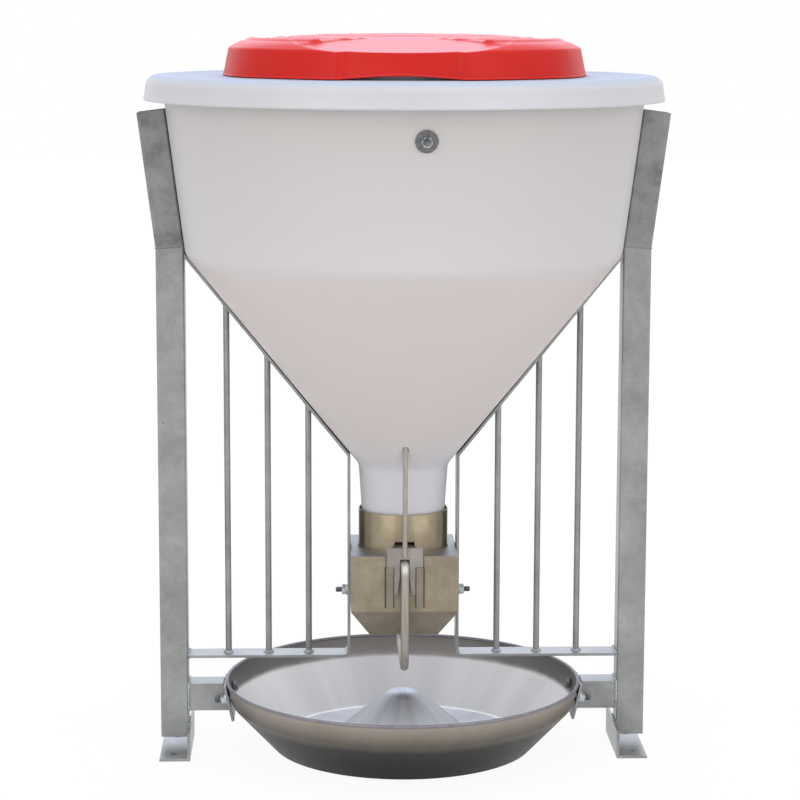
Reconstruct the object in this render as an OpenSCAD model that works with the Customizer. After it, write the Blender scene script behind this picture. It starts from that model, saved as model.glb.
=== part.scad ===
// Round hopper feeder for pigs: a plastic bin in a welded stand, over a steel outlet and a round bowl.
// X runs across the stand, the front is at -Y, and Z is measured up from the floor.

/* [Stand] */
// Side of the square tube of the legs
tube = 40; // [30:1:50]
// Wall of the square tube
tube_wall = 2; // [1.5:0.5:4]
// Room between the bowl's rim and each leg
bowl_room = 53; // [40:1:80]
// Height of the open lower ends of the legs
leg_z = 22; // [10:1:30]
// Height of the welded bend between leg and upright
seam_z = 732; // [700:1:760]
// Outward lean of the uprights, in degrees
lean = 7.3; // [3:0.1:12]
// Room between the tops of the uprights and the cover's skirt
upright_room = 13; // [4:1:30]

/* [Feet] */
// Length of the angle-iron feet
foot_len = 140; // [110:1:200]
// Height of the upright flange of a foot
foot_h = 40; // [34:1:60]
// Thickness of the angle iron
foot_t = 4; // [3:0.5:6]
// Diameter of the floor bolt holes
foot_hole_d = 11; // [8:0.5:14]
// Distance from each floor bolt to the end of the foot
foot_edge = 26; // [15:1:34]

/* [Guards] */
// Width of the flat bar of the guards
strip_w = 40; // [25:1:45]
// Thickness of the flat bar
strip_t = 4; // [2:0.5:5]
// Height of the lower rail of the guards above the bowl's rim
rail_up = 36; // [26:1:50]
// Diameter of the upright guard rods
rod_d = 9; // [6:0.5:12]
// Guard rods on each side
rod_n = 3; // [2:1:4]
// Inside radius of the bends in the flat bar
strip_bend = 5; // [2:0.5:8]

/* [Hopper] */
// Wall of the hopper
hopper_wall = 5; // [3:0.5:7]
// Drop from the stand's bend to the shoulder of the hopper
shoulder_drop = 9; // [4:1:20]
// Outer radius at the top of the neck
neck_r = 64; // [56:0.5:66]
// Drop in radius from the top of the neck to its lower end
neck_taper = 6.5; // [2:0.5:10]
// Length of the neck
neck_len = 99; // [80:1:120]
// Height of the hopper's side above the stand's bend
side_h = 232; // [180:1:260]
// Width of the rim flange
rim_w = 12.5; // [8:0.5:20]
// Round between the side and the rim flange
rim_round = 5; // [2:0.5:8]
// Round between the hopper's side and its cone
shoulder_round = 26; // [10:1:40]
// Round between the cone and the neck
neck_round = 22; // [8:1:40]

/* [Hopper bolt] */
// Drop from the rim flange to the bolt in the hopper's side
bin_bolt_drop = 66; // [45:1:120]
// Turn of the bolt from the front centre, in degrees
bin_bolt_turn = 3; // [-10:0.1:10]
// Diameter of its large washers
bin_washer_d = 30; // [20:1:40]

/* [Cover and lid] */
// Room between the hopper's rim flange and the cover's skirt
rim_clear = 4; // [2:0.5:8]
// Height of the cover's skirt
skirt_h = 34.5; // [26:0.5:44]
// Slope inwards of the skirt from foot to edge
skirt_draft = 5; // [0:0.5:8]
// Width of the raised border round the cover
border_w = 33; // [28:1:50]
// Drop from the border to the cover's inner panel
panel_drop = 2.5; // [1:0.5:4]
// Run of the step between the border and the panel
panel_step = 6; // [5:0.5:10]
// Rise of the inner panel towards the filler mouth
cover_rise = 2; // [0.5:0.5:2.5]
// Wall of the cover
cover_wall = 4; // [3:0.5:6]
// Round at the cover's edge
edge_round = 10; // [5:0.5:12]
// Rounds at the step of the inner panel
panel_round = 4; // [4:0.5:6]
// Round at the foot of the filler mouth
mouth_round = 8; // [3:0.5:12]
// Height of the upstand round the filler mouth
mouth_h = 28; // [15:1:30]
// Room between the upstand and the lid's grips
lid_clear = 0.5; // [0.4:0.1:6]
// Radius of the lid at its foot
lid_r = 256; // [250:1:262]
// Height of the lid's side wall
lid_h = 41; // [36:1:50]
// Draft of the lid's wall, from foot to shoulder
lid_draft = 11; // [6:1:15]
// Rise of the lid's crown above its shoulder
lid_crown = 17; // [10:1:26]
// Wall of the lid
lid_wall = 3; // [2:0.5:4]
// Sides of the lid's plan
lid_sides = 9; // [6:3:12]
// Depth of the three finger grips
grip_depth = 8; // [4:0.5:10]
// Rise of the lid's foot in the middle of a grip
grip_arch = 9; // [0:0.5:14]
// Turn of the lid on the filler mouth, in degrees
lid_yaw = -3; // [-20:0.5:20]

/* [Outlet] */
// Margin of the box's top outside the collar
box_margin = 12; // [8:0.5:20]
// Height of the square upper part of the box
box_h = 81; // [76:1:95]
// Height of the part that narrows
box_taper_h = 39; // [30:1:50]
// Width of the open lower end
box_end_w = 98; // [80:1:120]
// Steel sheet of the box and collar
sheet = 1.5; // [1:0.25:2]
// Clearance between the neck and the collar's upper edge
neck_clear = 2.8; // [1:0.1:5]
// Height of the collar
collar_h = 56; // [40:1:60]
// Drop from the top of the box to the two bolts that hold it to the guards
box_bolt_drop = 65; // [40:1:70]

/* [Feed lever] */
// Diameter of the round bar of the lever
bar_d = 12; // [8:0.5:12]
// Drop from the top of the box to the lever's shaft
shaft_drop = 12; // [10:0.5:16]
// Room between the bowl's cone and the lever
lever_room = 41; // [30:1:60]
// Room between the lever's lower bar and the outlet
outlet_room = 37; // [16:1:45]
// Clearance round the shaft in its bores
shaft_clear = 0.08; // [0.03:0.01:0.1]
// Middle radius of the lever's upper bends
elbow_r = 12; // [8:1:16]
// Middle radius of the lever's lower bends
loop_r = 26; // [16:1:40]
// Free length of the stirring blade below its sleeve
blade_h = 34; // [20:1:38]
// Width of the stirring blade
blade_w = 66; // [40:1:80]
// Thickness of the stirring blade
blade_t = 3; // [2:0.5:5]
// Wall of the blade's sleeve
sleeve_wall = 3.5; // [2:0.5:5]
// Press fit of the sleeve on the shaft, as a clearance
sleeve_clear = 0.05; // [0.02:0.01:0.08]
// Gap between the two shaft ends inside the sleeve
stub_gap = 12; // [4:1:20]

/* [Feed gate] */
// Width of the gate plate
gate_w = 51; // [46:0.5:60]
// Thickness of the gate plate
gate_t = 2; // [1.5:0.25:3]
// Reach of the gate below the top of the box
gate_down = 56; // [45:1:62]
// Reach of the gate above the top of the box
gate_up = 12; // [8:0.5:16]
// Clearance of the gate's slot on each side of the shaft
slot_clear = 0.7; // [0.4:0.1:2]
// Width of the slot where it opens at the foot of the gate
gate_flare = 20; // [14:0.5:24]
// Upward travel of the gate
gate_lift = 5; // [3:0.5:6]
// Width of the guides' faces over the gate's edges
guide_w = 12; // [8:0.5:14]
// Drop from the top of the box to the guides
guide_drop = 16; // [10:1:24]
// Length of the guides
guide_len = 58; // [40:1:64]
// Width of the gate's tongue
tongue_w = 26; // [16:1:34]
// Reach of the tongue into the collar
tongue_len = 20; // [10:1:30]
// Room round the tongue in its slot
tongue_room = 1; // [0.5:0.1:2]
// Room between the lifted tongue and the neck
neck_room = 5; // [2:0.5:10]
// Diameter of the gate's pull rod
pull_d = 7; // [5:0.5:8]
// Lap of the pull rod's foot on the gate
pull_lap = 13; // [8:1:20]
// Forward lean of the pull rod, in degrees
pull_lean = 3.5; // [0:0.5:6]
// Reach of the pull rod above the hole in the hopper's cone
pull_tip = 19; // [10:1:40]
// Clearance of the pull rod in that hole
pull_clear = 1; // [0.5:0.1:3]

/* [Bowl] */
// Outer radius of the rolled rim
bowl_r = 257; // [250:1:265]
// Height of the rim
bowl_z = 105; // [98:1:112]
// Radius of the rolled bead
bead_r = 2.5; // [2:0.5:4.5]
// Height of the upper band of the wall
band_h = 30; // [24:1:36]
// Inward lean of the upper band, in degrees
band_lean = 13; // [5:0.5:16]
// Round between the upper band and the lower wall
band_round = 30; // [15:1:40]
// Run inwards from the rim to the flat floor
wall_run = 70; // [58:1:82]
// Round between the wall and the floor
floor_round = 14; // [8:1:20]
// Height of the floor above the ground
floor_z = 8; // [5:0.5:14]
// Steel sheet of the bowl
bowl_t = 1.5; // [1:0.25:2.5]
// Height of the cone in the middle
peak_z = 90; // [70:1:105]
// Radius of the flat top of the cone, before its round
peak_r = 18; // [12:1:26]
// Round at the top of the cone
peak_round = 30; // [15:1:36]
// Radius of the foot of the cone
peak_foot_r = 117; // [100:1:140]
// Round at the foot of the cone
peak_foot_round = 34; // [15:1:40]

/* [Bowl brackets] */
// Distance from the bowl's bead down its band to the middle of the bracket plates
plate_down = 28; // [24:1:32]
// Height of the bolts above the middle of the plates
plate_bolt_up = 8; // [0:0.5:14]
// Height of the bracket tubes above the middle of the plates
bracket_up = 5.8; // [0:0.2:6]
// Steel left outside the bolts at each end of a bracket plate
plate_edge = 8; // [7:0.5:14]
// Height of the bracket plates
plate_h = 52; // [46:1:60]
// Thickness of the bracket plates
plate_t = 4; // [3:0.5:6]
// Room for the weld between the bracket tube and the bolts' washers
weld_room = 1; // [0.5:0.5:4]

/* [Fasteners] */
// Diameter of the bolts
bolt_d = 8; // [6:1:8]
// Width across the flats of heads and nuts
hex_af = 13; // [10:1:13]
// Height of the nuts
nut_h = 6.5; // [5:0.5:8]
// Height of the bolt heads
head_h = 5.5; // [4:0.5:6]
// Thickness of the washers
washer_t = 1.6; // [1:0.2:2.5]
// Diameter of the plain washers
washer_d = 17; // [14:1:20]
// Bolt end beyond the nut
bolt_end = 9; // [4:1:12]

/* [Hidden] */
$fn = 96;

// Gap between pieces that rest on or pass each other
gap = 0.3;
// Clearance of bolts in their holes, on the radius
hole_clear = 0.3;
// Reach of a cutting tool past the face that it cuts
past = 1;
// Steps in each round corner of a bent sheet
bend_steps = 6;

leg_in = bowl_r + bowl_room;
leg_x = leg_in + tube / 2;
foot_pitch = foot_len - 2 * foot_edge;
rail_z = bowl_z + rail_up;
hex_d = hex_af / cos(30);

// Heights that follow each other upwards from the bowl's cone to the hopper's neck
lever_z = peak_z + lever_room;
box_end = lever_z + bar_d + outlet_room;
box_knee = box_end + box_taper_h;
box_top = box_knee + box_h;
box_bolt_z = box_top - box_bolt_drop;
shaft_z = box_top - shaft_drop;
gate_z = box_top - gate_down;
gate_top = box_top + gate_up;
neck_z = gate_top + gate_lift + neck_room;
neck_top = neck_z + neck_len;

// The hopper's side follows the inner faces of the leaning uprights
function side_r(z) = leg_x - tube / 2 / cos(lean) + (z - seam_z) * tan(lean) - gap;
shoulder_z = seam_z - shoulder_drop;
shoulder_r = side_r(shoulder_z);
// Half angle of the hopper's cone, between the neck and the shoulder
cone_a = atan2(shoulder_r - neck_r, shoulder_z - neck_top);
rim_z = seam_z + side_h;
rim_r = side_r(rim_z) + rim_w;
bin_bolt_z = rim_z - bin_bolt_drop;

cover_z = rim_z + hopper_wall + gap + cover_wall;
skirt_z = cover_z - skirt_h;
skirt_r = rim_r + rim_clear + cover_wall + skirt_draft;
upright_len = (skirt_z - upright_room - seam_z - tube / 2 * sin(lean)) / cos(lean);

// Height of a line that runs a set distance below the hopper's cone, at x
function under_cone(x, off) = shoulder_z + (x - shoulder_r) / tan(cone_a) - off / sin(cone_a);

// The collar takes the neck where it reaches the collar's upper edge
collar_r = neck_r - neck_taper * (neck_top - box_top - collar_h) / neck_len + neck_clear + sheet;
box_w = 2 * (collar_r + box_margin);

strip_x = box_w / 2 + strip_t / 2;
strip_off = gap + strip_t / 2;
rod_step = (leg_in - strip_x) / (rod_n + 1);

panel_z = cover_z - panel_drop;
mouth_z = panel_z + cover_rise;
lid_z = mouth_z + gap;
// The middles of the lid's flat sides lie within its round by this share
lid_flat = cos(180 / lid_sides * 0.72);
// The upstand of the filler mouth stands within the lid's grips
mouth_r = (lid_r - lid_draft) * lid_flat - grip_depth - lid_wall - lid_clear - cover_wall;

gate_y = -box_w / 2 - gap - gate_t / 2;
guide_y = gate_y - gate_t / 2 - gap - sheet / 2;
guide_x = gate_w / 2 + gap + sheet;
lever_y = box_w / 2 + gap + elbow_r;
gate_slot = bar_d + 2 * slot_clear;
sleeve_d = bar_d + 2 * sleeve_wall;
guide_foot = box_top - guide_drop - guide_len;
pull_y = gate_y - gate_t / 2 - pull_d / 2;
pull_z = gate_top - pull_lap;
// Height at which the leaning pull rod meets the hopper's cone
pull_meet = (neck_top * tan(cone_a) - neck_r - pull_y - pull_z * tan(pull_lean))
  / (tan(cone_a) - tan(pull_lean));
pull_run = (pull_meet + pull_tip - pull_z) / cos(pull_lean);

floor_r = bowl_r - wall_run;
bead_x = bowl_r - bead_r;
bead_z = bowl_z - bead_r;
knee_r = bead_x - band_h * tan(band_lean);
knee_z = bead_z - band_h;
plate_x = bead_x - plate_down * sin(band_lean) + (bowl_t / 2 + gap) / cos(band_lean);
plate_z = bead_z - plate_down * cos(band_lean);
bracket_z = plate_z + bracket_up;
plate_pitch = tube + washer_d + 2 * weld_room;
plate_w = plate_pitch + 2 * plate_edge;
// How far the bowl's round wall falls back behind the flat plate at the bolts
bowl_fall = bead_x - sqrt(pow(bead_x, 2) - pow(plate_pitch / 2 + hex_d / 2, 2));

// Unit vector, left-hand normal and turn of a flat vector
function unit(v) = v / norm(v);
function left(v) = [-v.y, v.x];
function turned(v, a) = [v.x * cos(a) - v.y * sin(a), v.x * sin(a) + v.y * cos(a)];

// Points of one round corner at p, between the points a and b
function corner(a, p, b, r) =
  let(u = unit(a - p), v = unit(b - p), half = acos(u * v) / 2)
  let(c = p + unit(u + v) * r / sin(half), s = p + u * r / tan(half) - c)
  let(way = u.x * v.y - u.y * v.x > 0 ? -1 : 1)
  [for (k = [0 : bend_steps]) c + turned(s, way * (180 - 2 * half) * k / bend_steps)];

// A bent line: its points, with a round of radii[i] at each inner point
function bent(pts, radii) = [
  pts[0],
  for (i = [1 : len(pts) - 2]) each corner(pts[i - 1], pts[i], pts[i + 1], radii[i - 1]),
  pts[len(pts) - 1]
];

// A bent line moved to its left by d, with mitred corners
function beside(pts, d) =
  let(n = len(pts) - 1)
  let(side = [for (i = [0 : n - 1]) left(unit(pts[i + 1] - pts[i]))])
  [for (i = [0 : n])
    let(a = side[max(i - 1, 0)], b = side[min(i, n - 1)])
    pts[i] + (a + b) * d / (1 + a * b)];

// A sheet along a bent line, between two distances to its left
module ribbon(pts, from, to) {
  back = beside(pts, to);
  polygon(concat(beside(pts, from), [for (i = [len(back) - 1 : -1 : 0]) back[i]]));
}

// The same piece on the right, or mirrored to the left
module on_side(s) {
  mirror([s < 0 ? 1 : 0, 0, 0]) children();
}

// A square tube upwards from z0 to z1, centred on the Z axis
module square_tube(z0, z1) {
  difference() {
    translate([-tube / 2, -tube / 2, z0]) cube([tube, tube, z1 - z0]);
    translate([-tube / 2 + tube_wall, -tube / 2 + tube_wall, z0 - past])
      cube([tube - 2 * tube_wall, tube - 2 * tube_wall, z1 - z0 + 2 * past]);
  }
}

// Everything above the mitre of the bend, in the leg's own axes, turned over by up = -1
module mitre_side(up) {
  reach = 4 * tube;
  rotate([0, lean / 2, 0])
    translate([-reach / 2, -reach / 2, up > 0 ? 0 : -reach]) cube(reach);
}

module leg(s) {
  color("darkgray") on_side(s) translate([leg_x, 0, 0]) difference() {
    square_tube(leg_z, seam_z + tube);
    translate([0, 0, seam_z]) mitre_side(1);
  }
}

module upright(s) {
  color("darkgray") on_side(s) translate([leg_x, 0, seam_z]) difference() {
    rotate([0, lean, 0]) square_tube(-tube, upright_len);
    mitre_side(-1);
  }
}

// Angle iron with its upright flange inside the leg and its flat flange under it
module foot(s) {
  color("gray") on_side(s) difference() {
    union() {
      translate([leg_in - foot_t, -foot_len / 2, 0]) cube([foot_t, foot_len, foot_h]);
      translate([leg_in - foot_t, -foot_len / 2, 0]) cube([tube + foot_t, foot_len, foot_t]);
    }
    for (y = [-1, 1] * foot_pitch / 2)
      translate([leg_x, y, -past]) cylinder(d = foot_hole_d, h = foot_t + 2 * past);
  }
}

// Flat bar from the leg down the hopper's cone, down past the outlet box and back to the leg
module guard_strip(s) {
  bend_r = strip_bend + strip_t / 2;
  turn_z = under_cone(strip_x, strip_off);
  route = [
    [leg_in, under_cone(leg_in, strip_off)], [strip_x, turn_z],
    [strip_x, rail_z], [leg_in, rail_z]
  ];
  color("darkgray") on_side(s) difference() {
    rotate([90, 0, 0]) linear_extrude(strip_w, center = true) intersection() {
      ribbon(bent(concat([route[0] + [tube, tube / tan(cone_a)]], [for (i = [1 : 3]) route[i]]),
        [bend_r, bend_r]), -strip_t / 2, strip_t / 2);
      translate([0, rail_z - tube]) square([leg_in, seam_z]);
    }
    translate([0, 0, box_bolt_z]) rotate([0, 90, 0])
      cylinder(r = bolt_d / 2 + hole_clear, h = box_w);
  }
}

// Rods between the lower rail and the underside of the sloping bar
module guard_rods(s) {
  color("darkgray") on_side(s) for (i = [1 : rod_n]) {
    x = strip_x + i * rod_step;
    difference() {
      translate([x, 0, rail_z + strip_t / 2]) cylinder(d = rod_d, h = shoulder_z - rail_z);
      translate([x, 0, under_cone(x, gap + strip_t)]) rotate([0, cone_a - 90, 0])
        translate([-shoulder_r, -tube, 0]) cube([2 * shoulder_r, 2 * tube, shoulder_r]);
    }
  }
}

// Axes of a bowl plate: its outward face is up, its length runs along Y
module at_plate(s) {
  on_side(s) translate([plate_x, 0, plate_z]) rotate([0, 90 + band_lean, 0]) children();
}

module at_plate_bolts() {
  for (s = [-1, 1], y = [-1, 1] * plate_pitch / 2)
    at_plate(s) translate([-plate_bolt_up, y, 0]) children();
}

module bowl_plate(s) {
  color("gray") at_plate(s) difference() {
    translate([-plate_h / 2, -plate_w / 2, 0]) cube([plate_h, plate_w, plate_t]);
    for (y = [-1, 1] * plate_pitch / 2)
      translate([-plate_bolt_up, y, -past]) cylinder(r = bolt_d / 2 + hole_clear, h = plate_t + 2 * past);
  }
}

// Tube from the leg to the bowl plate, cut to the plate's lean
module bowl_bracket(s) {
  color("darkgray") difference() {
    on_side(s) translate([0, 0, bracket_z]) rotate([0, 90, 0])
      square_tube(plate_x - tube, leg_in);
    at_plate(s) translate([-2 * tube, -2 * tube, plate_t - 4 * tube]) cube(4 * tube);
  }
}

// Spun bowl with a rolled rim, a steep upper band and a cone in its floor
module bowl() {
  route = [
    [0, peak_z], [peak_r, peak_z], [peak_foot_r, floor_z], [floor_r, floor_z],
    [knee_r, knee_z], [bead_x, bead_z]
  ];
  color("silver") difference() {
    rotate_extrude() {
      ribbon(bent(route, [peak_round, peak_foot_round, floor_round, band_round]),
        -bowl_t / 2, bowl_t / 2);
      translate([bead_x, bead_z]) circle(r = bead_r, $fn = 24);
    }
    at_plate_bolts() translate([0, 0, -tube / 2]) cylinder(r = bolt_d / 2 + hole_clear, h = tube);
  }
}

// Hexagon head or nut, standing on its lower face
module hexagon(h) {
  cylinder(d = hex_d, h = h, $fn = 6);
}

module washer(d) {
  difference() {
    cylinder(d = d, h = washer_t);
    translate([0, 0, -past]) cylinder(r = bolt_d / 2 + hole_clear, h = washer_t + 2 * past);
  }
}

module nut() {
  difference() {
    hexagon(nut_h);
    translate([0, 0, -past]) cylinder(d = bolt_d, h = nut_h + 2 * past);
  }
}

// Bolt with its head's seat at -grip and its end past the washer and nut that sit at 0
module bolt(grip) {
  translate([0, 0, -grip - head_h]) {
    hexagon(head_h);
    cylinder(d = bolt_d, h = head_h + grip + washer_t + nut_h + bolt_end);
  }
}

bowl_grip = plate_t + gap + bowl_t + bowl_fall + gap;

module bowl_bolts() {
  color("lightgray") at_plate_bolts() translate([0, 0, plate_t]) bolt(bowl_grip);
}

module bowl_washers() {
  color("lightgray") at_plate_bolts() translate([0, 0, plate_t]) washer(washer_d);
}

module bowl_nuts() {
  color("lightgray") at_plate_bolts() translate([0, 0, plate_t + washer_t]) nut();
}

// Moulded bin: neck, cone, leaning side and rim flange
module hopper() {
  route = [
    [neck_r - neck_taper, neck_z], [neck_r, neck_top], [shoulder_r, shoulder_z],
    [side_r(rim_z), rim_z], [rim_r, rim_z]
  ];
  color("white") difference() {
    rotate_extrude() ribbon(bent(route, [neck_round, shoulder_round, rim_round]), 0, hopper_wall);
    at_bin_bolt() translate([0, 0, -tube]) cylinder(r = bolt_d / 2 + hole_clear, h = 2 * tube);
    at_pull_rod() translate([0, 0, neck_top - pull_z])
      cylinder(r = pull_d / 2 + pull_clear, h = shoulder_z - neck_top);
  }
}

// Axes of the hopper's bolt: square to the leaning side, with the outer face at 0
module at_bin_bolt() {
  rotate([0, 0, bin_bolt_turn - 90]) translate([side_r(bin_bolt_z), 0, bin_bolt_z])
    rotate([0, 90 + lean, 0]) children();
}

module hopper_bolt() {
  color("gray") at_bin_bolt() translate([0, 0, gap]) bolt(hopper_wall + washer_t + 3 * gap);
}

module hopper_washers() {
  color("gray") at_bin_bolt() {
    translate([0, 0, gap]) washer(bin_washer_d);
    translate([0, 0, -hopper_wall - washer_t - 2 * gap]) washer(bin_washer_d);
  }
}

module hopper_nut() {
  color("gray") at_bin_bolt() translate([0, 0, gap + washer_t]) nut();
}

// Rolled steel band that takes the neck, with a slot for the gate's tongue
module collar() {
  slot_h = gate_t + gate_lift + 2 * tongue_room;
  color("tan") difference() {
    translate([0, 0, box_top]) cylinder(r = collar_r, h = collar_h);
    translate([0, 0, box_top - past]) cylinder(r = collar_r - sheet, h = collar_h + 2 * past);
    translate([-tongue_w / 2 - tongue_room, -collar_r - past, gate_top - gate_t - tongue_room])
      cube([tongue_w + 2 * tongue_room, collar_r, slot_h]);
  }
}

// Outline of the box seen from one side, drawn in by a margin and cut off at a height
function box_side(in, z0, z1) = [
  [-box_end_w / 2 + in, z0], [box_end_w / 2 - in, z0], [box_w / 2 - in, box_knee],
  [box_w / 2 - in, z1], [-box_w / 2 + in, z1], [-box_w / 2 + in, box_knee]
];

module box_block(in, z0, z1) {
  intersection() {
    rotate([90, 0, 0]) linear_extrude(2 * box_w, center = true) polygon(box_side(in, z0, z1));
    rotate([90, 0, 90]) linear_extrude(2 * box_w, center = true) polygon(box_side(in, z0, z1));
  }
}

// Folded box: square above, narrowing below to its open end
module outlet_box() {
  color("tan") difference() {
    box_block(0, box_end, box_top);
    box_block(sheet, box_end - past, box_top - sheet);
    translate([0, 0, box_top - tube]) cylinder(r = collar_r - sheet, h = 2 * tube);
    translate([0, 0, shaft_z]) rotate([90, 0, 0])
      cylinder(r = bar_d / 2 + shaft_clear, h = 2 * box_w, center = true);
    translate([0, 0, box_bolt_z]) rotate([0, 90, 0])
      cylinder(r = bolt_d / 2 + hole_clear, h = 2 * box_w, center = true);
  }
}

// Angle strip welded to the box front by its edge, with its face over the gate's edge
module gate_guide(s) {
  front = guide_y - sheet / 2;
  color("tan") on_side(s) translate([0, 0, guide_foot]) linear_extrude(guide_len)
    polygon([
      [guide_x, -box_w / 2], [guide_x, front], [guide_x - guide_w, front],
      [guide_x - guide_w, front + sheet], [guide_x - sheet, front + sheet], [guide_x - sheet, -box_w / 2]
    ]);
}

module at_box_bolts() {
  for (s = [-1, 1])
    on_side(s) translate([strip_x + strip_t / 2, 0, box_bolt_z]) rotate([0, 90, 0]) children();
}

module box_bolts() {
  color("lightgray") at_box_bolts() bolt(strip_t + sheet);
}

module box_washers() {
  color("lightgray") at_box_bolts() washer(washer_d);
}

module box_nuts() {
  color("lightgray") at_box_bolts() translate([0, 0, washer_t]) nut();
}

// Straight round bar from a to b in the plane of the lever, each as [y, z]
module bar(a, b) {
  v = b - a;
  translate([0, a.x, a.y]) rotate([-atan2(v.x, v.y), 0, 0]) cylinder(d = bar_d, h = norm(v));
}

// Quarter bend of the bar about c, as [y, z], starting at an angle
module bar_bend(c, r, start) {
  translate([0, c.x, c.y]) rotate([0, 90, 0]) rotate([0, 0, start])
    rotate_extrude(angle = 90) translate([r, 0]) circle(d = bar_d);
}

// Closed stirrup of round bar: a shaft stub through each wall, two legs and a bar under the outlet
module feed_lever() {
  low = lever_z + bar_d / 2;
  color("silver") for (s = [0, 1]) mirror([0, s, 0]) {
    bar([-stub_gap / 2, shaft_z], [-lever_y + elbow_r, shaft_z]);
    bar_bend([-lever_y + elbow_r, shaft_z - elbow_r], elbow_r, 180);
    bar([-lever_y, shaft_z - elbow_r], [-lever_y, low + loop_r]);
    bar_bend([-lever_y + loop_r, low + loop_r], loop_r, 270);
    bar([-lever_y + loop_r, low], [0, low]);
  }
}

// Sleeve that joins the two stubs inside the box, with a blade that stirs the feed
module stirrer() {
  color("silver") translate([0, 0, shaft_z]) difference() {
    union() {
      rotate([90, 0, 0]) cylinder(d = sleeve_d, h = blade_w, center = true);
      translate([-blade_t / 2, -blade_w / 2, -sleeve_d / 2 - blade_h])
        cube([blade_t, blade_w, sleeve_d / 2 + blade_h]);
    }
    rotate([90, 0, 0]) cylinder(r = bar_d / 2 + sleeve_clear, h = 2 * box_w, center = true);
  }
}

// Plate that slides behind the guides, slotted round the shaft, with a tongue into the collar
module feed_gate() {
  slot_top = shaft_z + gate_slot / 2 + tongue_room;
  flare_z = gate_z + (slot_top - gate_z) / 2;
  color("tan") union() {
    translate([0, gate_y + gate_t / 2, 0]) rotate([90, 0, 0]) linear_extrude(gate_t) polygon([
      [-gate_w / 2, gate_z], [-gate_flare / 2, gate_z], [-gate_slot / 2, flare_z],
      [-gate_slot / 2, slot_top], [gate_slot / 2, slot_top], [gate_slot / 2, flare_z],
      [gate_flare / 2, gate_z], [gate_w / 2, gate_z], [gate_w / 2, gate_top], [-gate_w / 2, gate_top]
    ]);
    translate([-tongue_w / 2, gate_y, gate_top - gate_t])
      cube([tongue_w, -gate_y - collar_r + tongue_len, gate_t]);
  }
}

// Axes of the leaning pull rod, whose foot rests on the gate's face
module at_pull_rod() {
  translate([0, pull_y, pull_z]) rotate([pull_lean, 0, 0]) children();
}

// Round rod welded to the gate's face by its foot, with its upper end through the hopper's cone
module pull_rod() {
  color("silver") at_pull_rod() cylinder(d = pull_d, h = pull_run);
}

// Moulded cover: skirt, raised border, inner panel and upstand round the filler mouth
module hopper_cover() {
  border_r = skirt_r - skirt_draft - border_w;
  route = [
    [skirt_r, skirt_z], [skirt_r - skirt_draft, cover_z], [border_r, cover_z],
    [border_r - panel_step, panel_z], [mouth_r + cover_wall, mouth_z],
    [mouth_r + cover_wall, mouth_z + mouth_h]
  ];
  color("white") rotate_extrude()
    ribbon(bent(route, [edge_round, panel_round, panel_round, mouth_round]), 0, cover_wall);
}

// Radius of the lid's plan at an angle from the front, for a skin drawn in by a margin
function lid_turn(a) = a - round(a * lid_sides / 360) * 360 / lid_sides;
function lid_facet(a) = round(a * lid_sides / 360);
function in_grip(a) = lid_facet(a) % 3 == 0;
// Share of the grip's full depth at an angle within its facet
function grip_share(a) =
  in_grip(a) ? min(1, max(0, (180 / lid_sides - abs(lid_turn(a))) / 4)) : 0;
function lid_plan(a) = min(1, lid_flat / cos(lid_turn(a)));

// Levels of the lid's outer skin, each as shares: of the grip's depth, of the draft and of the radius
// drawn in, of the side's height and of the crown's rise
lid_levels = [
  [1, 0, 0, 0, 0], [1, 0.85, 0, 0.86, 0], [0.9, 1, 0.01, 0.95, 0.06], [0.6, 1, 0.04, 1, 0.14],
  [0, 1, 0.11, 1, 0.36], [0, 1, 0.2, 1, 0.55], [0, 1, 0.22, 1, 0.66], [0, 1, 0.4, 1, 0.82],
  [0, 1, 0.68, 1, 0.96]
];

function lid_point(a, level, in) =
  let(grip = level[0] * grip_share(a) * grip_depth, drawn = level[1] * lid_draft + level[2] * lid_r)
  let(r = (lid_r - drawn) * lid_plan(a) - grip - in, z = level[3] * lid_h + level[4] * lid_crown)
  [r * sin(a), -r * cos(a), lid_z + (z > 0 ? z - in : grip_arch * grip_share(a))];

// Moulded lid: a drafted side in flat facets, three grips and a crowned top
module filler_lid() {
  n = 108;
  skins = [for (in = [0, lid_wall], level = lid_levels, k = [0 : n - 1]) lid_point(k * 360 / n, level, in)];
  rows = len(lid_levels);
  top = [0, 0, lid_z + lid_h + lid_crown];
  pts = concat(skins, [top, top - [0, 0, lid_wall]]);
  outer_tip = len(skins);
  ring = [for (r = [0 : rows - 2], k = [0 : n - 1]) [r * n + k, r * n + (k + 1) % n]];
  last = (rows - 1) * n;
  inner = rows * n;
  faces = concat(
    [for (e = ring) each [[e[0], e[0] + n, e[1] + n], [e[0], e[1] + n, e[1]]]],
    [for (e = ring) each [[inner + e[0], inner + e[1] + n, inner + e[0] + n],
      [inner + e[0], inner + e[1], inner + e[1] + n]]],
    [for (k = [0 : n - 1]) [last + k, outer_tip, last + (k + 1) % n]],
    [for (k = [0 : n - 1]) [inner + last + k, inner + last + (k + 1) % n, outer_tip + 1]],
    [for (k = [0 : n - 1]) each [[k, (k + 1) % n, inner + (k + 1) % n], [k, inner + (k + 1) % n, inner + k]]]
  );
  color("red") rotate([0, 0, lid_yaw]) polyhedron(pts, faces);
}

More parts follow.
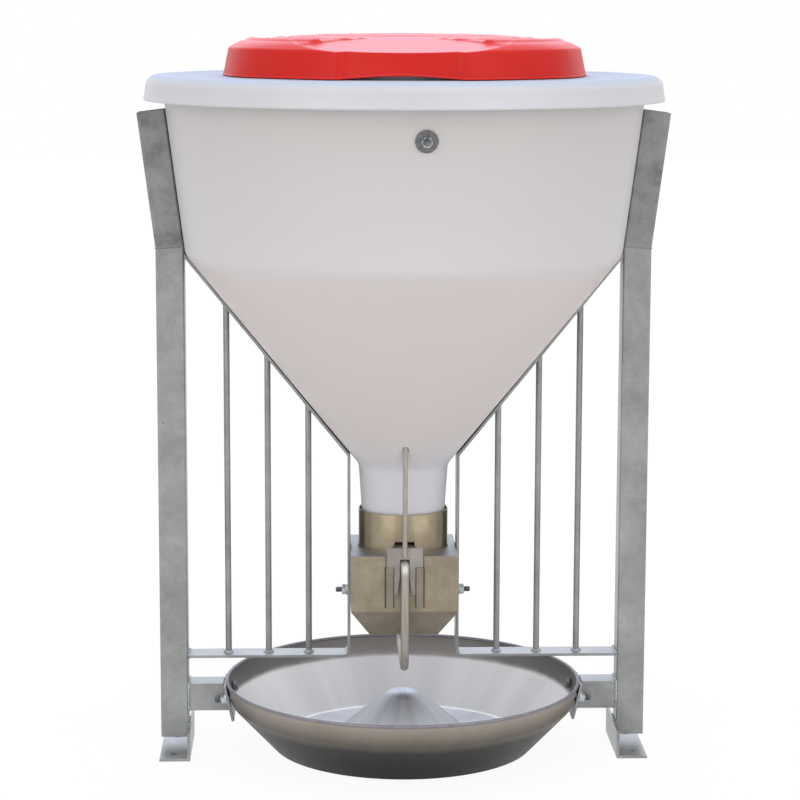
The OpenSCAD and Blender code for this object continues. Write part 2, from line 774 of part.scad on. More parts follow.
leg(-1);  // left_leg
leg(1);  // right_leg
upright(-1);  // left_upright
upright(1);  // right_upright
foot(-1);  // left_foot
foot(1);  // right_foot
guard_strip(-1);  // left_guard_strip
guard_strip(1);  // right_guard_strip
guard_rods(-1);  // left_guard_rods
guard_rods(1);  // right_guard_rods
bowl_bracket(-1);  // left_bowl_bracket
bowl_bracket(1);  // right_bowl_bracket
bowl_plate(-1);  // left_bowl_plate
bowl_plate(1);  // right_bowl_plate
bowl();
bowl_bolts();
bowl_washers();
bowl_nuts();
hopper();
hopper_bolt();
hopper_washers();
hopper_nut();
collar();
outlet_box();
gate_guide(-1);  // left_gate_guide
gate_guide(1);  // right_gate_guide
box_bolts();
box_washers();
box_nuts();
feed_lever();
stirrer();
feed_gate();
pull_rod();
hopper_cover();
filler_lid();
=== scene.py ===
from math import acos, atan2, cos, pi, radians, sin, sqrt, tan, tau

import bmesh
import bpy
from mathutils import Matrix, Vector


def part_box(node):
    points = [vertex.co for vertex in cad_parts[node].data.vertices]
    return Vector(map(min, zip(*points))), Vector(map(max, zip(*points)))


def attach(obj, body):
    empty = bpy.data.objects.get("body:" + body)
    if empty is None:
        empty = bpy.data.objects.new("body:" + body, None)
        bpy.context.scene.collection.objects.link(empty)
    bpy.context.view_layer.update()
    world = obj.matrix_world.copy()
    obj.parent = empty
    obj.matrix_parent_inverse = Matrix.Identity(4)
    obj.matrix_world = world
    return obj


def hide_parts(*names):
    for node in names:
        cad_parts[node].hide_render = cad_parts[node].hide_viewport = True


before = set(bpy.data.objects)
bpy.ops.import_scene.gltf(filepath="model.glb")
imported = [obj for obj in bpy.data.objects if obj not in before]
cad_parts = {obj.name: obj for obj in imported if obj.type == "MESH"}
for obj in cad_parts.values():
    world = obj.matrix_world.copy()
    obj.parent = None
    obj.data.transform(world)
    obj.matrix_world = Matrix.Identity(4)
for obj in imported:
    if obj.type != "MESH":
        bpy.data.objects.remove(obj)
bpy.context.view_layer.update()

# Legs and uprights: square tube of cold-formed steel with rounded corners, hot-dip galvanised.
# Each leaning upright is welded on its leg at a mitre, ground almost flush before the zinc bath.

# One millimetre in the scene's metres; sizes below are in millimetres
MM = 0.001


def size_of(node):
    """A CAD node's lowest and highest corners, in millimetres."""
    low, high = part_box(node)
    return Vector(low) / MM, Vector(high) / MM


def linear(hex_colour):
    """An sRGB hex colour as the linear colour that the shaders take."""
    parts = [int(hex_colour[i : i + 2], 16) / 255 for i in (1, 3, 5)]
    return [c / 12.92 if c <= 0.04045 else ((c + 0.055) / 1.055) ** 2.4 for c in parts] + [1]


def give(node, inputs):
    """Sets a node's inputs to values, or links them to sockets; a node stands for its first output."""
    for key, value in inputs.items():
        if isinstance(value, bpy.types.Node):
            value = value.outputs[0]
        if isinstance(value, bpy.types.NodeSocket):
            node.id_data.links.new(value, node.inputs[key])
        else:
            node.inputs[key].default_value = value


def add(inside, kind, inputs=None, stops=None, **settings):
    """Adds one node with its settings, colour stops and inputs to a tree, or to the tree of a node or socket."""
    made = inside.id_data.nodes.new(kind)
    for key, value in settings.items():
        setattr(made, key, value)
    for place, colour in stops or []:
        ramp = made.color_ramp.elements
        stop = ramp[0] if place == stops[0][0] else ramp[-1] if place == stops[-1][0] else ramp.new(place)
        stop.position, stop.color = place, linear(colour)
    give(made, inputs or {})
    return made


def noise(place, grain, detail, rough=0.5):
    """A noise pattern with its grain in millimetres."""
    return add(place, "ShaderNodeTexNoise", {
        "Vector": place, "Scale": 1 / (grain * MM), "Detail": detail, "Roughness": rough}).outputs["Fac"]


def tinted(value, *stops):
    """A colour that follows a value through colour stops."""
    return add(value, "ShaderNodeValToRGB", {"Fac": value}, stops).outputs["Color"]


def ranged(value, low, high, start=0, end=1, **settings):
    """A value taken from one range to another and held at its ends."""
    return add(value, "ShaderNodeMapRange", {
        "Value": value, "From Min": low, "From Max": high, "To Min": start, "To Max": end},
        **settings).outputs["Result"]


def between(value, start, end):
    """A share from 0 to 1 taken to another range."""
    return ranged(value, 0, 1, start, end)


def maths(operation, *values):
    """The result of one sum."""
    return add(values[0], "ShaderNodeMath", dict(enumerate(values)), operation=operation).outputs[0]


def axes(vector):
    """The X, Y and Z of a vector."""
    return add(vector, "ShaderNodeSeparateXYZ", {0: vector}).outputs


def bumped(height, strength):
    """A normal that follows a pattern up to a millimetre high."""
    return add(height, "ShaderNodeBump", {"Height": height, "Strength": strength, "Distance": MM}).outputs["Normal"]


def finish_of(name, inputs):
    """A new material with its shader, set to plain values, and its coordinates."""
    material = bpy.data.materials.new(name)
    material.use_nodes = True
    shader = material.node_tree.nodes["Principled BSDF"]
    give(shader, inputs)
    return material, shader, add(shader, "ShaderNodeTexCoord").outputs["Object"]


# Hot-dip galvanised steel: a soft grey metal with cloudy patches, faint zinc crystals and small dark pits,
# under a thin clear patina
galvanised, shader, place = finish_of("hot_dip_galvanised_steel", {
    "Metallic": 0.6, "Coat Weight": 0.6, "Coat Roughness": 0.3})
crystal, cloud, pit = 9, 55, 5
spangle = add(place, "ShaderNodeTexVoronoi", {"Vector": place, "Scale": 1 / (crystal * MM)})
patches = noise(place, cloud, 9, 0.66)
tone = maths("MULTIPLY_ADD", spangle.outputs["Color"], 0.1, patches)
pitted = ranged(noise(place, pit, 2), 0.7, 0.78, 0, -0.5)
# The uprights are painted darker than the legs: painted shade from the cover's overhang
leg_low, leg_high = size_of("right_leg")
joint_below, joint_above = 4, 2
upright_shade = ranged(axes(place)["Z"], (leg_high.z - joint_below) * MM, (leg_high.z + joint_above) * MM, 0, -0.18)
marks_and_shade = maths("ADD", maths("ADD", tone, pitted), upright_shade)
zinc = tinted(marks_and_shade, (0.1, "#4e5051"), (0.36, "#838584"), (0.56, "#959796"), (0.8, "#a7a9a9"))
give(shader, {"Base Color": zinc, "Roughness": between(patches, 0.4, 0.62), "Normal": bumped(marks_and_shade, 0.05)})


def linked(name, data):
    """A new object in the scene."""
    made = bpy.data.objects.new(name, data)
    bpy.context.scene.collection.objects.link(made)
    return made


def sharpened(mesh):
    """Keeps a mesh's sharp edges crisp under smooth shading."""
    mesh.set_sharp_from_angle(angle=radians(32))


def shown(name, mesh, *materials):
    """A new smooth object with these materials."""
    for material in materials:
        mesh.materials.append(material)
    mesh.polygons.foreach_set("use_smooth", [True] * len(mesh.polygons))
    sharpened(mesh)
    return linked(name, mesh)


def dress(made, body, slot, *nodes):
    """Makes a piece ride on its body and stand for its CAD nodes; its slot is not used."""
    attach(made, body)
    if nodes:
        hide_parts(*nodes)


def plain(made):
    """Turns what an object's modifiers make into its own mesh."""
    bpy.context.view_layer.update()
    mesh = bpy.data.meshes.new_from_object(made.evaluated_get(bpy.context.evaluated_depsgraph_get()))
    made.modifiers.clear()
    made.data = mesh
    return made


def mesh_of(name, bm):
    """A mesh with what a bmesh holds, which is then let go."""
    mesh = bpy.data.meshes.new(name)
    bm.to_mesh(mesh)
    bm.free()
    return mesh


def eased(node, material, round_mm, steps, picked, slot="galvanised", body="stand"):
    """A CAD node's own shape with its picked sharp edges rounded, as bending or rolling leaves them: those over
    a length, or those that a function of their length and ends picks."""
    bm = bmesh.new()
    bm.from_mesh(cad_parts[node].data)
    bmesh.ops.remove_doubles(bm, verts=bm.verts, dist=0.01 * MM)
    bmesh.ops.dissolve_limit(bm, angle_limit=radians(0.6), verts=bm.verts, edges=bm.edges)
    sharp = [e for e in bm.edges if len(e.link_faces) == 2 and e.calc_face_angle(0) > radians(25)]
    test = picked if callable(picked) else lambda length, ends: length > picked
    corners = [e for e in sharp if test(e.calc_length() / MM, [v.co / MM for v in e.verts])]
    bmesh.ops.bevel(
        bm, geom=corners, offset=round_mm * MM, segments=steps, affect="EDGES", profile=0.5, clamp_overlap=True)
    made = shown(node + "_piece", mesh_of(node + "_piece", bm), material)
    # Weighted normals keep the flat faces between the rounds flat to the eye
    made.modifiers.new("flat_faces", "WEIGHTED_NORMAL").keep_sharp = True
    dress(plain(made), body, slot, node)


tube_corner = 3
for node in ("left_leg", "right_leg", "left_upright", "right_upright"):
    eased(node, galvanised, tube_corner, 4, 100)

# Weld beads: overlapping ripples of filler metal, laid by hand and galvanised with the stand.
# They run round the mitres, the bracket tubes, the feet, the rails' ends and both ends of each guard rod.


def nodes_tree(name, *inputs):
    """A geometry tree with named inputs, and the outputs of its input node."""
    made = bpy.data.node_groups.new(name, "GeometryNodeTree")
    for title, kind in (("Geometry", "Geometry"), *inputs):
        made.interface.new_socket(title, in_out="INPUT", socket_type="NodeSocket" + kind)
    made.interface.new_socket("Geometry", in_out="OUTPUT", socket_type="NodeSocketGeometry")
    return made, add(made, "NodeGroupInput").outputs


def end_tree(made, geometry, material):
    """Ends a tree with real, smooth faces in their material."""
    real = add(made, "GeometryNodeRealizeInstances", {"Geometry": geometry})
    smooth = add(made, "GeometryNodeSetShadeSmooth", {"Geometry": real})
    painted = add(made, "GeometryNodeSetMaterial", {"Geometry": smooth, "Material": material})
    add(made, "NodeGroupOutput", {0: painted})


def grown(made, made_tree, **values):
    """Runs a geometry tree on an object with its named inputs set."""
    run = made.modifiers.new(made_tree.name, "NODES")
    run.node_group = made_tree
    for item in made_tree.interface.items_tree:
        if item.in_out == "INPUT" and item.name in values:
            run[item.identifier] = values[item.name]
    sharpened(plain(made).data)
    return made


weld_tree, given = nodes_tree("weld_beads", ("Pitch", "Float"), ("Bead", "Float"), ("Finish", "Material"))
line = add(weld_tree, "GeometryNodeMeshToCurve", {"Mesh": given["Geometry"]})
spaced = add(weld_tree, "GeometryNodeResampleCurve", {"Curve": line, "Length": given["Pitch"]}, mode="LENGTH")
drop = add(weld_tree, "GeometryNodeMeshUVSphere", {"Segments": 12, "Rings": 7, "Radius": 0.5})
along = add(weld_tree, "GeometryNodeInputTangent")
turn = add(weld_tree, "FunctionNodeAlignRotationToVector", {"Vector": along}, axis="X")
size = add(weld_tree, "FunctionNodeRandomValue", {
    "Min": (0.9, 0.75, 0.6), "Max": (1.35, 1.2, 1.05), "Seed": 4}, data_type="FLOAT_VECTOR")
scale = add(weld_tree, "ShaderNodeVectorMath", {0: size, "Scale": given["Bead"]}, operation="SCALE")
drops = add(weld_tree, "GeometryNodeInstanceOnPoints", {
    "Points": spaced, "Instance": drop, "Rotation": turn, "Scale": scale})
end_tree(weld_tree, drops, given["Finish"])


def path_mesh(name, lines):
    """An object of bare edges along lines of points in millimetres."""
    points, edges = [], []
    for run in lines:
        edges += [(len(points) + i, len(points) + i + 1) for i in range(len(run) - 1)]
        points += [Vector(p) * MM for p in run]
    mesh = bpy.data.meshes.new(name)
    mesh.from_pydata(points, edges, [])
    return linked(name, mesh)


def welded(name, lines, pitch, bead, finish, slot="galvanised", body="stand"):
    """Weld beads along lines of points, with their pitch and their size."""
    beads = grown(path_mesh(name, lines), weld_tree, Pitch=pitch * MM, Bead=bead * MM, Finish=finish)
    dress(beads, body, slot)


def ring_at(x, y, radius, count=20):
    """Points of a level ring, closed."""
    return [(x + radius * cos(tau * k / count), y + radius * sin(tau * k / count)) for k in range(count + 1)]


def speckled(name, inputs, pattern, dark, pale, rough=None, pale_from=0.7):
    """A finish whose colour follows one noise pattern, and its roughness too if it has a range."""
    finish, shader, place = finish_of(name, inputs)
    spots = noise(place, *pattern)
    give(shader, {"Base Color": tinted(spots, (0.3, dark), (pale_from, pale))})
    if rough:
        give(shader, {"Roughness": between(spots, *rough)})
    return finish


lean, gap, strip_t, rod_d, rod_n = radians(7.3), 0.3, 4, 9, 3
leg_in, half = leg_low.x, (leg_high.x - leg_low.x) / 2
leg_x, leg_z = leg_in + half, leg_low.z
seam_z = leg_high.z - half * tan(lean / 2)
bracket_z = sum(corner.z for corner in size_of("right_bowl_bracket")) / 2
rail_z = size_of("right_guard_strip")[0].z + strip_t / 2
strip_x = size_of("outlet_box")[1].x + strip_t / 2
# The hopper's cone, which the sloping guard bars follow, from its shoulder to its neck
shoulder_drop, neck_r, neck_top = 9, 64, 421
side_foot = leg_x - half / cos(lean) - gap
shoulder_z, shoulder_r = seam_z - shoulder_drop, side_foot - shoulder_drop * tan(lean)
cone_a = atan2(shoulder_r - neck_r, shoulder_z - neck_top)


def under_cone(x, off):
    """Height of a line a set distance below the hopper's cone."""
    return shoulder_z + (x - shoulder_r) / tan(cone_a) - off / sin(cone_a)


rod_step, rod_foot = (leg_in - strip_x) / (rod_n + 1), rail_z + strip_t / 2
square = [(-half, -half), (half, -half), (half, half), (-half, half), (-half, -half)]
# How far off the joined faces the beads lie, the ends of the feet's seams, and the rods' ring of weld
tube_off, rail_off, foot_off, head_off, foot_seam, ring_r = 0.5, 1, 0.6, 0.8, (2, 18), rod_d * 0.56
mitres, seams, rod_feet = [], [], []
for side in (-1, 1):
    mitres.append([(side * (leg_x + x), y, seam_z - x * tan(lean / 2)) for x, y in square])
    seams.append([(side * (leg_in - tube_off), y, bracket_z + z) for y, z in square])
    seams += [[(side * leg_in, y, leg_z + z) for z in foot_seam] for y in (-half, half)]
    seams += [[(side * (leg_in - rail_off), y, rail_z + z) for y in (-half, half)] for z in (-strip_t / 2, strip_t / 2)]
    for i in range(1, rod_n + 1):
        ring = ring_at(strip_x + i * rod_step, 0, ring_r)
        rod_feet.append([(side * px, py, rod_foot + foot_off) for px, py in ring])
        seams.append([(side * px, py, under_cone(px, gap + strip_t) - head_off) for px, py in ring])

# Galvanised weld metal: a little brighter than the tube, because the zinc lies thick and wet on it
weld_zinc = speckled("galvanised_weld_metal", {"Metallic": 0.7, "Roughness": 0.36}, (2.5, 3), "#8f9395", "#c3c7cb")
welded("mitre_welds", mitres, 1.6, 1.8, galvanised)
welded("joint_welds", seams, 2.2, 4, weld_zinc)
welded("rod_foot_welds", rod_feet, 3.4, 5.2, weld_zinc)

# Feet: short lengths of rolled angle iron, hot-dip galvanised.
# Each is welded inside its leg and has a floor bolt hole at each end.
for node in ("left_foot", "right_foot"):
    eased(node, galvanised, 0.9, 3, 12)

# Guard strips: one galvanised flat bar on each side, bent to follow the hopper's cone, the outlet and the
# lower rail. Both of its ends are welded to the leg.
for node in ("left_guard_strip", "right_guard_strip"):
    eased(node, galvanised, 0.8, 3, lambda length, ends: all(abs(abs(p.y) - half) < 0.05 for p in ends))

# Guard rods: drawn round bar, galvanised with the stand.
# They are cut to length between the rail and the sloping bar and welded at both ends.
rod_tree, given = nodes_tree(
    "guard_rods", ("First", "Vector"), ("Step", "Vector"), ("Rods", "Int"), ("Slope", "Float"), ("Rise", "Float"),
    ("Diameter", "Float"), ("Finish", "Material"))
row = add(rod_tree, "GeometryNodeMeshLine", {
    "Count": given["Rods"], "Start Location": given["First"], "Offset": given["Step"]})
width = maths("MULTIPLY", given["Diameter"], 0.5)
bar = add(rod_tree, "GeometryNodeMeshCylinder", {"Vertices": 32, "Radius": width, "Depth": 1})
stood = add(rod_tree, "GeometryNodeTransform", {"Geometry": bar, "Translation": (0, 0, 0.5)})
out = maths("ABSOLUTE", axes(add(rod_tree, "GeometryNodeInputPosition"))["X"])
tall = maths("MULTIPLY_ADD", out, given["Slope"], given["Rise"])
stretch = add(rod_tree, "ShaderNodeCombineXYZ", {"X": 1, "Y": 1, "Z": tall})
rods = add(rod_tree, "GeometryNodeInstanceOnPoints", {"Points": row, "Instance": stood, "Scale": stretch})
end_tree(rod_tree, rods, given["Finish"])

# The rods run on into the sloping bar, so that its slope covers their square ends
rod_lap = 1.6
for name, side in (("left_guard_rods", -1), ("right_guard_rods", 1)):
    rod_set = grown(
        path_mesh(name + "_piece", [[(0, 0, 0), (0, 0, 1)]]), rod_tree,
        First=(side * (strip_x + rod_step) * MM, 0, rod_foot * MM), Step=(side * rod_step * MM, 0, 0), Rods=rod_n,
        Slope=1 / tan(cone_a), Rise=(under_cone(0, gap + strip_t) - rod_foot + rod_lap) * MM,
        Diameter=rod_d * MM, Finish=galvanised)
    dress(rod_set, "stand", "galvanised", name)

# Bowl brackets: short galvanised square tubes welded to the legs.
# Each has a flat plate welded to its end that leans with the bowl's side.
plate_t = 4
for side in ("left", "right"):
    eased(side + "_bowl_bracket", galvanised, tube_corner, 4, 35)
    eased(side + "_bowl_plate", galvanised, 0.7, 3,
          lambda length, ends: length > 14 or abs(length - plate_t) < 0.2)

# Bowl: stainless sheet spun over a former, with a rolled bead at its rim, a steep upper band,
# a sloping wall and a cone in its floor that sheds the feed outwards.


def rounded(points, radii, steps):
    """A line of (radius, height) points with a round of radii[i] at each inner point."""
    line = [Vector(points[0])]
    for a, p, b, r in zip(points, points[1:], points[2:], radii):
        a, p, b = Vector(a), Vector(p), Vector(b)
        u, v = (a - p).normalized(), (b - p).normalized()
        half_angle = acos(u.dot(v)) / 2
        centre = p + (u + v).normalized() * r / sin(half_angle)
        first = p + u * r / tan(half_angle) - centre
        way = -1 if u.x * v.y - u.y * v.x > 0 else 1
        for k in range(steps + 1):
            turn = way * (pi - 2 * half_angle) * k / steps
            line.append(centre + Matrix.Rotation(turn, 2) @ first)
    return line + [Vector(points[-1])]


def beside(line, off):
    """A line of (radius, height) points moved to its left, with mitred corners."""
    sides = [(b - a).normalized() for a, b in zip(line, line[1:])]
    sides = [Vector((-s.y, s.x)) for s in sides]
    moved = []
    for i, p in enumerate(line):
        a, b = sides[max(i - 1, 0)], sides[min(i, len(sides) - 1)]
        moved.append(p + (a + b) * off / (1 + a.dot(b)))
    return moved


def skinned(name, rings, count, *materials, closed=False, caps=False, band=None):
    """A piece skinned over rings of points in millimetres, with doubles merged and normals outwards;
    a ring of one point is a pole, and band gives each row's material."""
    points, numbers, faces, inks = [], [], [], []
    for ring in rings:
        numbers.append(range(len(points), len(points) + len(ring)))
        points += [Vector(p) * MM for p in ring]
    for i, (low, high) in enumerate(zip(numbers, numbers[1:] + numbers[:1] if closed else numbers[1:])):
        for k in range(count):
            m = (k + 1) % count
            face = [low[k % len(low)], low[m % len(low)], high[m % len(high)], high[k % len(high)]]
            faces.append([p for j, p in enumerate(face) if p not in face[:j]])
            inks.append(band[i] if band else 0)
    if caps:
        faces += [list(numbers[0]), list(numbers[-1])]
        inks += [0, 0]
    mesh = bpy.data.meshes.new(name)
    mesh.from_pydata(points, [], faces)
    mesh.polygons.foreach_set("material_index", inks)
    bm = bmesh.new()
    bm.from_mesh(mesh)
    bmesh.ops.remove_doubles(bm, verts=bm.verts, dist=0.002 * MM)
    bmesh.ops.recalc_face_normals(bm, faces=bm.faces)
    bm.to_mesh(mesh)
    bm.free()
    return shown(name, mesh, *materials)


def turned(name, outline, count, *materials, band=None, closed=True):
    """A piece made by turning an outline of (radius, height) in millimetres, each a number or a function
    of the angle from the front; a radius of 0 is a pole."""
    rings = []
    for radius, height in outline:
        ring = []
        for k in range(1 if radius == 0 else count):
            a = tau * k / count
            r = radius(a) if callable(radius) else radius
            z = height(a) if callable(height) else height
            ring.append((r * sin(a), -r * cos(a), z))
        rings.append(ring)
    return skinned(name, rings, count, *materials, closed=closed, band=band)


bead_r, bowl_t, band_lean, band_h = 2.5, 1.5, radians(13), 30
bowl_r, bowl_z = 257, 105
bead_x, bead_z = bowl_r - bead_r, bowl_z - bead_r
knee = (bead_x - band_h * tan(band_lean), bead_z - band_h)
peak_z, peak_r, peak_foot, floor_r, floor_z = 87, 18, 112, 187, 8
peak_bend, foot_bend, floor_bend, knee_bend = 46, 34, 6, 14
bowl_line = rounded(
    [(0, peak_z), (peak_r, peak_z), (peak_foot, floor_z), (floor_r, floor_z), knee, (bead_x, bead_z)],
    [peak_bend, foot_bend, floor_bend, knee_bend], 12)
upper, lower = beside(bowl_line, bowl_t / 2), beside(bowl_line, -bowl_t / 2)
upper[0].x = lower[0].x = 0
# The bead is a round that starts and ends where the sheet's two faces meet it
sheet_turn, sheet_half, bead_steps = 1.5 * pi - band_lean, bowl_t / 2 / bead_r, 20
bead_turns = [sheet_turn - sheet_half - k * (tau - 2 * sheet_half) / bead_steps for k in range(bead_steps + 1)]
bead = [Vector((bead_x + bead_r * cos(a), bead_z + bead_r * sin(a))) for a in bead_turns]
bowl_outline = [tuple(p) for p in upper[:-1] + bead + lower[:-1][::-1]]


def vectors(operation, *values):
    """The outputs of one sum on vectors."""
    return add(values[0], "ShaderNodeVectorMath", dict(enumerate(values)), operation=operation).outputs


def streaks(place, wide, long, detail):
    """A noise pattern drawn out upwards, with its grain's width and length in millimetres."""
    grain = (1 / (wide * MM), 1 / (wide * MM), 1 / (long * MM))
    drawn = add(place, "ShaderNodeMapping", {"Vector": place, "Scale": grain})
    return add(place, "ShaderNodeTexNoise", {"Vector": drawn, "Scale": 1, "Detail": detail}).outputs["Fac"]


# Spun stainless steel, inside: a satin metal with fine turning marks round its axis. Its colour is darker on
# the upper band than on the wall and floor.
spun_inside, shader, place = finish_of("spun_stainless_steel_inside", {"Metallic": 0.7, "Anisotropic": 0.7})
axis = vectors("MULTIPLY", place, (1, 1, 0))["Vector"]
reach = vectors("LENGTH", axis)["Value"]
# Turning marks, about 0.3 mm apart, are drawn 2 mm apart so that they show
marks = maths("MULTIPLY", reach, 1 / (2 * MM))
rings = add(place, "ShaderNodeTexNoise", {"W": marks, "Scale": 1, "Detail": 3}, noise_dimensions="1D").outputs["Fac"]
shade = maths("MULTIPLY_ADD", noise(place, 80, 5, 0.6), 0.003, reach)
# From the axis out to 260 mm: the peak, the cone, the floor, a painted highlight on its bend, the wall and the upper
# band
satin = tinted(
    ranged(shade, 0, 260 * MM), (0.02, "#b4b7bf"), (0.14, "#c2c5cc"), (0.42, "#cdd0d6"), (0.5, "#dcdddf"),
    (0.715, "#e0e1e3"), (0.72, "#f4f5f6"), (0.728, "#f4f5f6"), (0.735, "#e2e3e6"), (0.947, "#ebecee"),
    (0.958, "#878584"), (0.995, "#6d6a67"))
# A painted sheen in soft fans that run out from the axis, like the reflections on spun metal
heading = vectors("NORMALIZE", axis)["Vector"]
sheen_fans = add(place, "ShaderNodeTexNoise", {"Vector": heading, "Scale": 3.2, "Detail": 3})
painted_sheen = add(place, "ShaderNodeVectorMath", {0: satin, "Scale": ranged(sheen_fans, 0.3, 0.7, 0.84, 1.05)}, operation="SCALE")
# The marks run round the axis, so the sheen runs across them
round_axis = add(place, "ShaderNodeTangent", direction_type="RADIAL", axis="Z")
give(shader, {"Base Color": painted_sheen, "Roughness": between(rings, 0.3, 0.5), "Normal": bumped(rings, 0.08),
              "Tangent": round_axis})

# Spun stainless steel, outside: a warm grey band under the rim, and below it painted shade that darkens
# towards the ground, where the wall turns down, with a few scratches.
spun_outside, shader, place = finish_of("spun_stainless_steel_outside", {"Metallic": 0.6, "Specular IOR Level": 0.2})
shade = maths("MULTIPLY_ADD", noise(place, 60, 6, 0.65), 0.012, axes(place)["Z"])
# From the ground up to 110 mm: painted shade below, the warm grey band above
band_and_underside_shade = tinted(
    ranged(shade, 0, 110 * MM), (0.08, "#0e0e0e"), (0.35, "#191919"), (0.58, "#302f2e"), (0.77, "#79736a"),
    (0.95, "#a19a90"))
scratches = streaks(place, 4, 40, 4)
give(shader, {"Base Color": band_and_underside_shade, "Roughness": between(scratches, 0.36, 0.56)})

# Rolled rim: the same sheet, dulled by snouts and by stacking, with fine dents
rim_steel = speckled("rolled_stainless_rim", {"Metallic": 0.6}, (12, 5, 0.7), "#78757b", "#918e94", (0.36, 0.58))

bowl_bands = [0] * (len(upper) - 1) + [2] * (len(bead) - 1) + [1] * len(lower)
bowl = turned("bowl_piece", bowl_outline, 192, spun_inside, spun_outside, rim_steel, closed=False, band=bowl_bands)
dress(bowl, "stand", "stainless_bowl", "bowl")

# Bolts, washers and nuts: zinc-plated steel with rolled threads, chamfered hexagons and stamped washers.
# Four hold the bowl to its plates, with their heads inside the bowl.
thread_pitch, thread_depth, bolt_r, bolt_end = 1.25, 0.62, 4, 9
hex_af, nut_h, head_h, washer_t, washer_d = 13, 6.5, 5.5, 1.6, 17


def hex_rows(low, high):
    """Rows of a hexagon between two heights with its corners chamfered at the ends."""
    def radius(a):
        return hex_af / 2 / cos(a - round(a / (pi / 3)) * pi / 3)

    flat, slope, levels = hex_af / 2 * 0.97, 1.75, (0, 0.35, 0.7, 1.1)
    rows = [(low + d, d) for d in levels] + [(high - d, d) for d in levels[::-1]]
    return [(lambda a, d=d: min(radius(a), flat + d * slope), z) for z, d in rows]


def bolt_shape(grip):
    """A bolt along +Z whose head seats at -grip and whose thread stands past a washer and nut at 0."""
    end = washer_t + nut_h + bolt_end
    low, high = 0.2, end - 0.8
    rows = [(0, -grip - head_h)] + hex_rows(-grip - head_h, -grip) + [(bolt_r, -grip), (bolt_r, 0)]
    count = int((high - low) / (thread_pitch / 4))
    for i in range(count + 1):
        z = low + (high - low) * i / count
        fade = min(1, (high - z) / thread_pitch)
        rows.append((lambda a, z=z, fade=fade: bolt_r - thread_depth * (
            1 - fade * (1 - abs(2 * ((z / thread_pitch - a / tau) % 1) - 1))), z))
    return turned("bolt", rows + [(bolt_r - thread_depth - 0.5, end), (0, end)], 24, closed=False)


def nut_shape():
    """A nut along +Z that stands on 0."""
    return turned("nut", hex_rows(0, nut_h) + [(bolt_r - 0.1, nut_h - 0.4), (bolt_r - 0.1, 0.4)], 48)


def washer_shape(across):
    """A stamped washer along +Z, with one edge rounded by the die."""
    r, bore, edge = across / 2, bolt_r + 0.3, 0.35
    return turned("washer", [
        (bore, 0), (r - 0.15, 0), (r, 0.15), (r, washer_t - edge), (r - 0.1, washer_t - 0.1), (r - edge, washer_t),
        (bore, washer_t)], 48)


set_tree, given = nodes_tree("fasteners", ("Piece", "Object"), ("Finish", "Material"))
part = add(set_tree, "GeometryNodeObjectInfo", {"Object": given["Piece"]}).outputs["Geometry"]
facing = add(set_tree, "GeometryNodeInputNamedAttribute", {"Name": "facing"}, data_type="FLOAT_VECTOR")
turn = add(set_tree, "FunctionNodeAlignRotationToVector", {"Vector": facing}, axis="Z")
seats = add(set_tree, "GeometryNodeMeshToPoints", {"Mesh": given["Geometry"]})
placed = add(set_tree, "GeometryNodeInstanceOnPoints", {"Points": seats, "Instance": part, "Rotation": turn})
end_tree(set_tree, placed, given["Finish"])


def fastened(node, shape, places, material, lift=0):
    """Sets a shape at each place, a point and an outward direction, for a CAD node."""
    made = path_mesh(node + "_piece", [[Vector(p) + Vector(d) * lift] for p, d in places])
    made.data.attributes.new("facing", "FLOAT_VECTOR", "POINT").data.foreach_set(
        "vector", [c for p, d in places for c in d])
    grown(made, set_tree, Piece=shape, Finish=material)
    dress(made, "stand", "zinc_fastener", node)
    bpy.data.objects.remove(shape)


# Bright zinc plating: a smooth, slightly bluish silver with small dull spots
zinc_plate = speckled("bright_zinc_plated_steel", {"Metallic": 1}, (3, 4), "#9ca0a4", "#c9ced3", (0.4, 0.22), 0.65)
# Bolt steel: darker than the nuts, because oil and dust stay in the thread
bolt_steel = speckled("oiled_bolt_steel", {"Metallic": 0.8}, (2, 4), "#55585c", "#8b8f94", (0.5, 0.3))


def bolted(name, grip, places):
    """Bolts, each with a washer and a nut."""
    fastened(name + "_bolts", bolt_shape(grip), places, bolt_steel)
    fastened(name + "_washers", washer_shape(washer_d), places, zinc_plate)
    fastened(name + "_nuts", nut_shape(), places, zinc_plate, washer_t)


# The plates' bolts stand square to the bowl's upper band
plate_pitch, plate_down, plate_bolt_up = 59, 28, 8
plate_x = bead_x - plate_down * sin(band_lean) + (bowl_t / 2 + gap) / cos(band_lean)
plate_z = bead_z - plate_down * cos(band_lean)
bowl_fall = bead_x - sqrt(bead_x**2 - (plate_pitch / 2 + hex_af / cos(pi / 6) / 2) ** 2)
outwards, upwards = Vector((cos(band_lean), 0, -sin(band_lean))), Vector((sin(band_lean), 0, cos(band_lean)))
seat = Vector((plate_x, 0, plate_z)) + upwards * plate_bolt_up + outwards * plate_t
bolted("bowl", plate_t + bowl_t + 2 * gap + bowl_fall, [
    ((side * seat.x, y, seat.z), (side * outwards.x, 0, outwards.z))
    for side in (-1, 1) for y in (-plate_pitch / 2, plate_pitch / 2)])

# Outlet box: stainless sheet folded to a square box that narrows to its mouth, bolted between the guard strips.
# Its brushed skin has yellowed a little; dust and painted shade sit behind the gate, painted shade runs along
# its guides' edges, and its level faces are painted greyer, as the cool light from above falls on them.


def blend(share, under, over):
    """A colour mixed from two, by the second one's share."""
    return add(share, "ShaderNodeMix", {0: share, 6: under, 7: over}, data_type="RGBA").outputs[2]


def level_share(inside, low, high):
    """A share that rises to 1 where a face turns upwards."""
    return ranged(axes(add(inside, "ShaderNodeNewGeometry").outputs["Normal"])["Z"], low, high)


box_stainless, shader, place = finish_of("brushed_stainless_sheet", {"Metallic": 0.55})
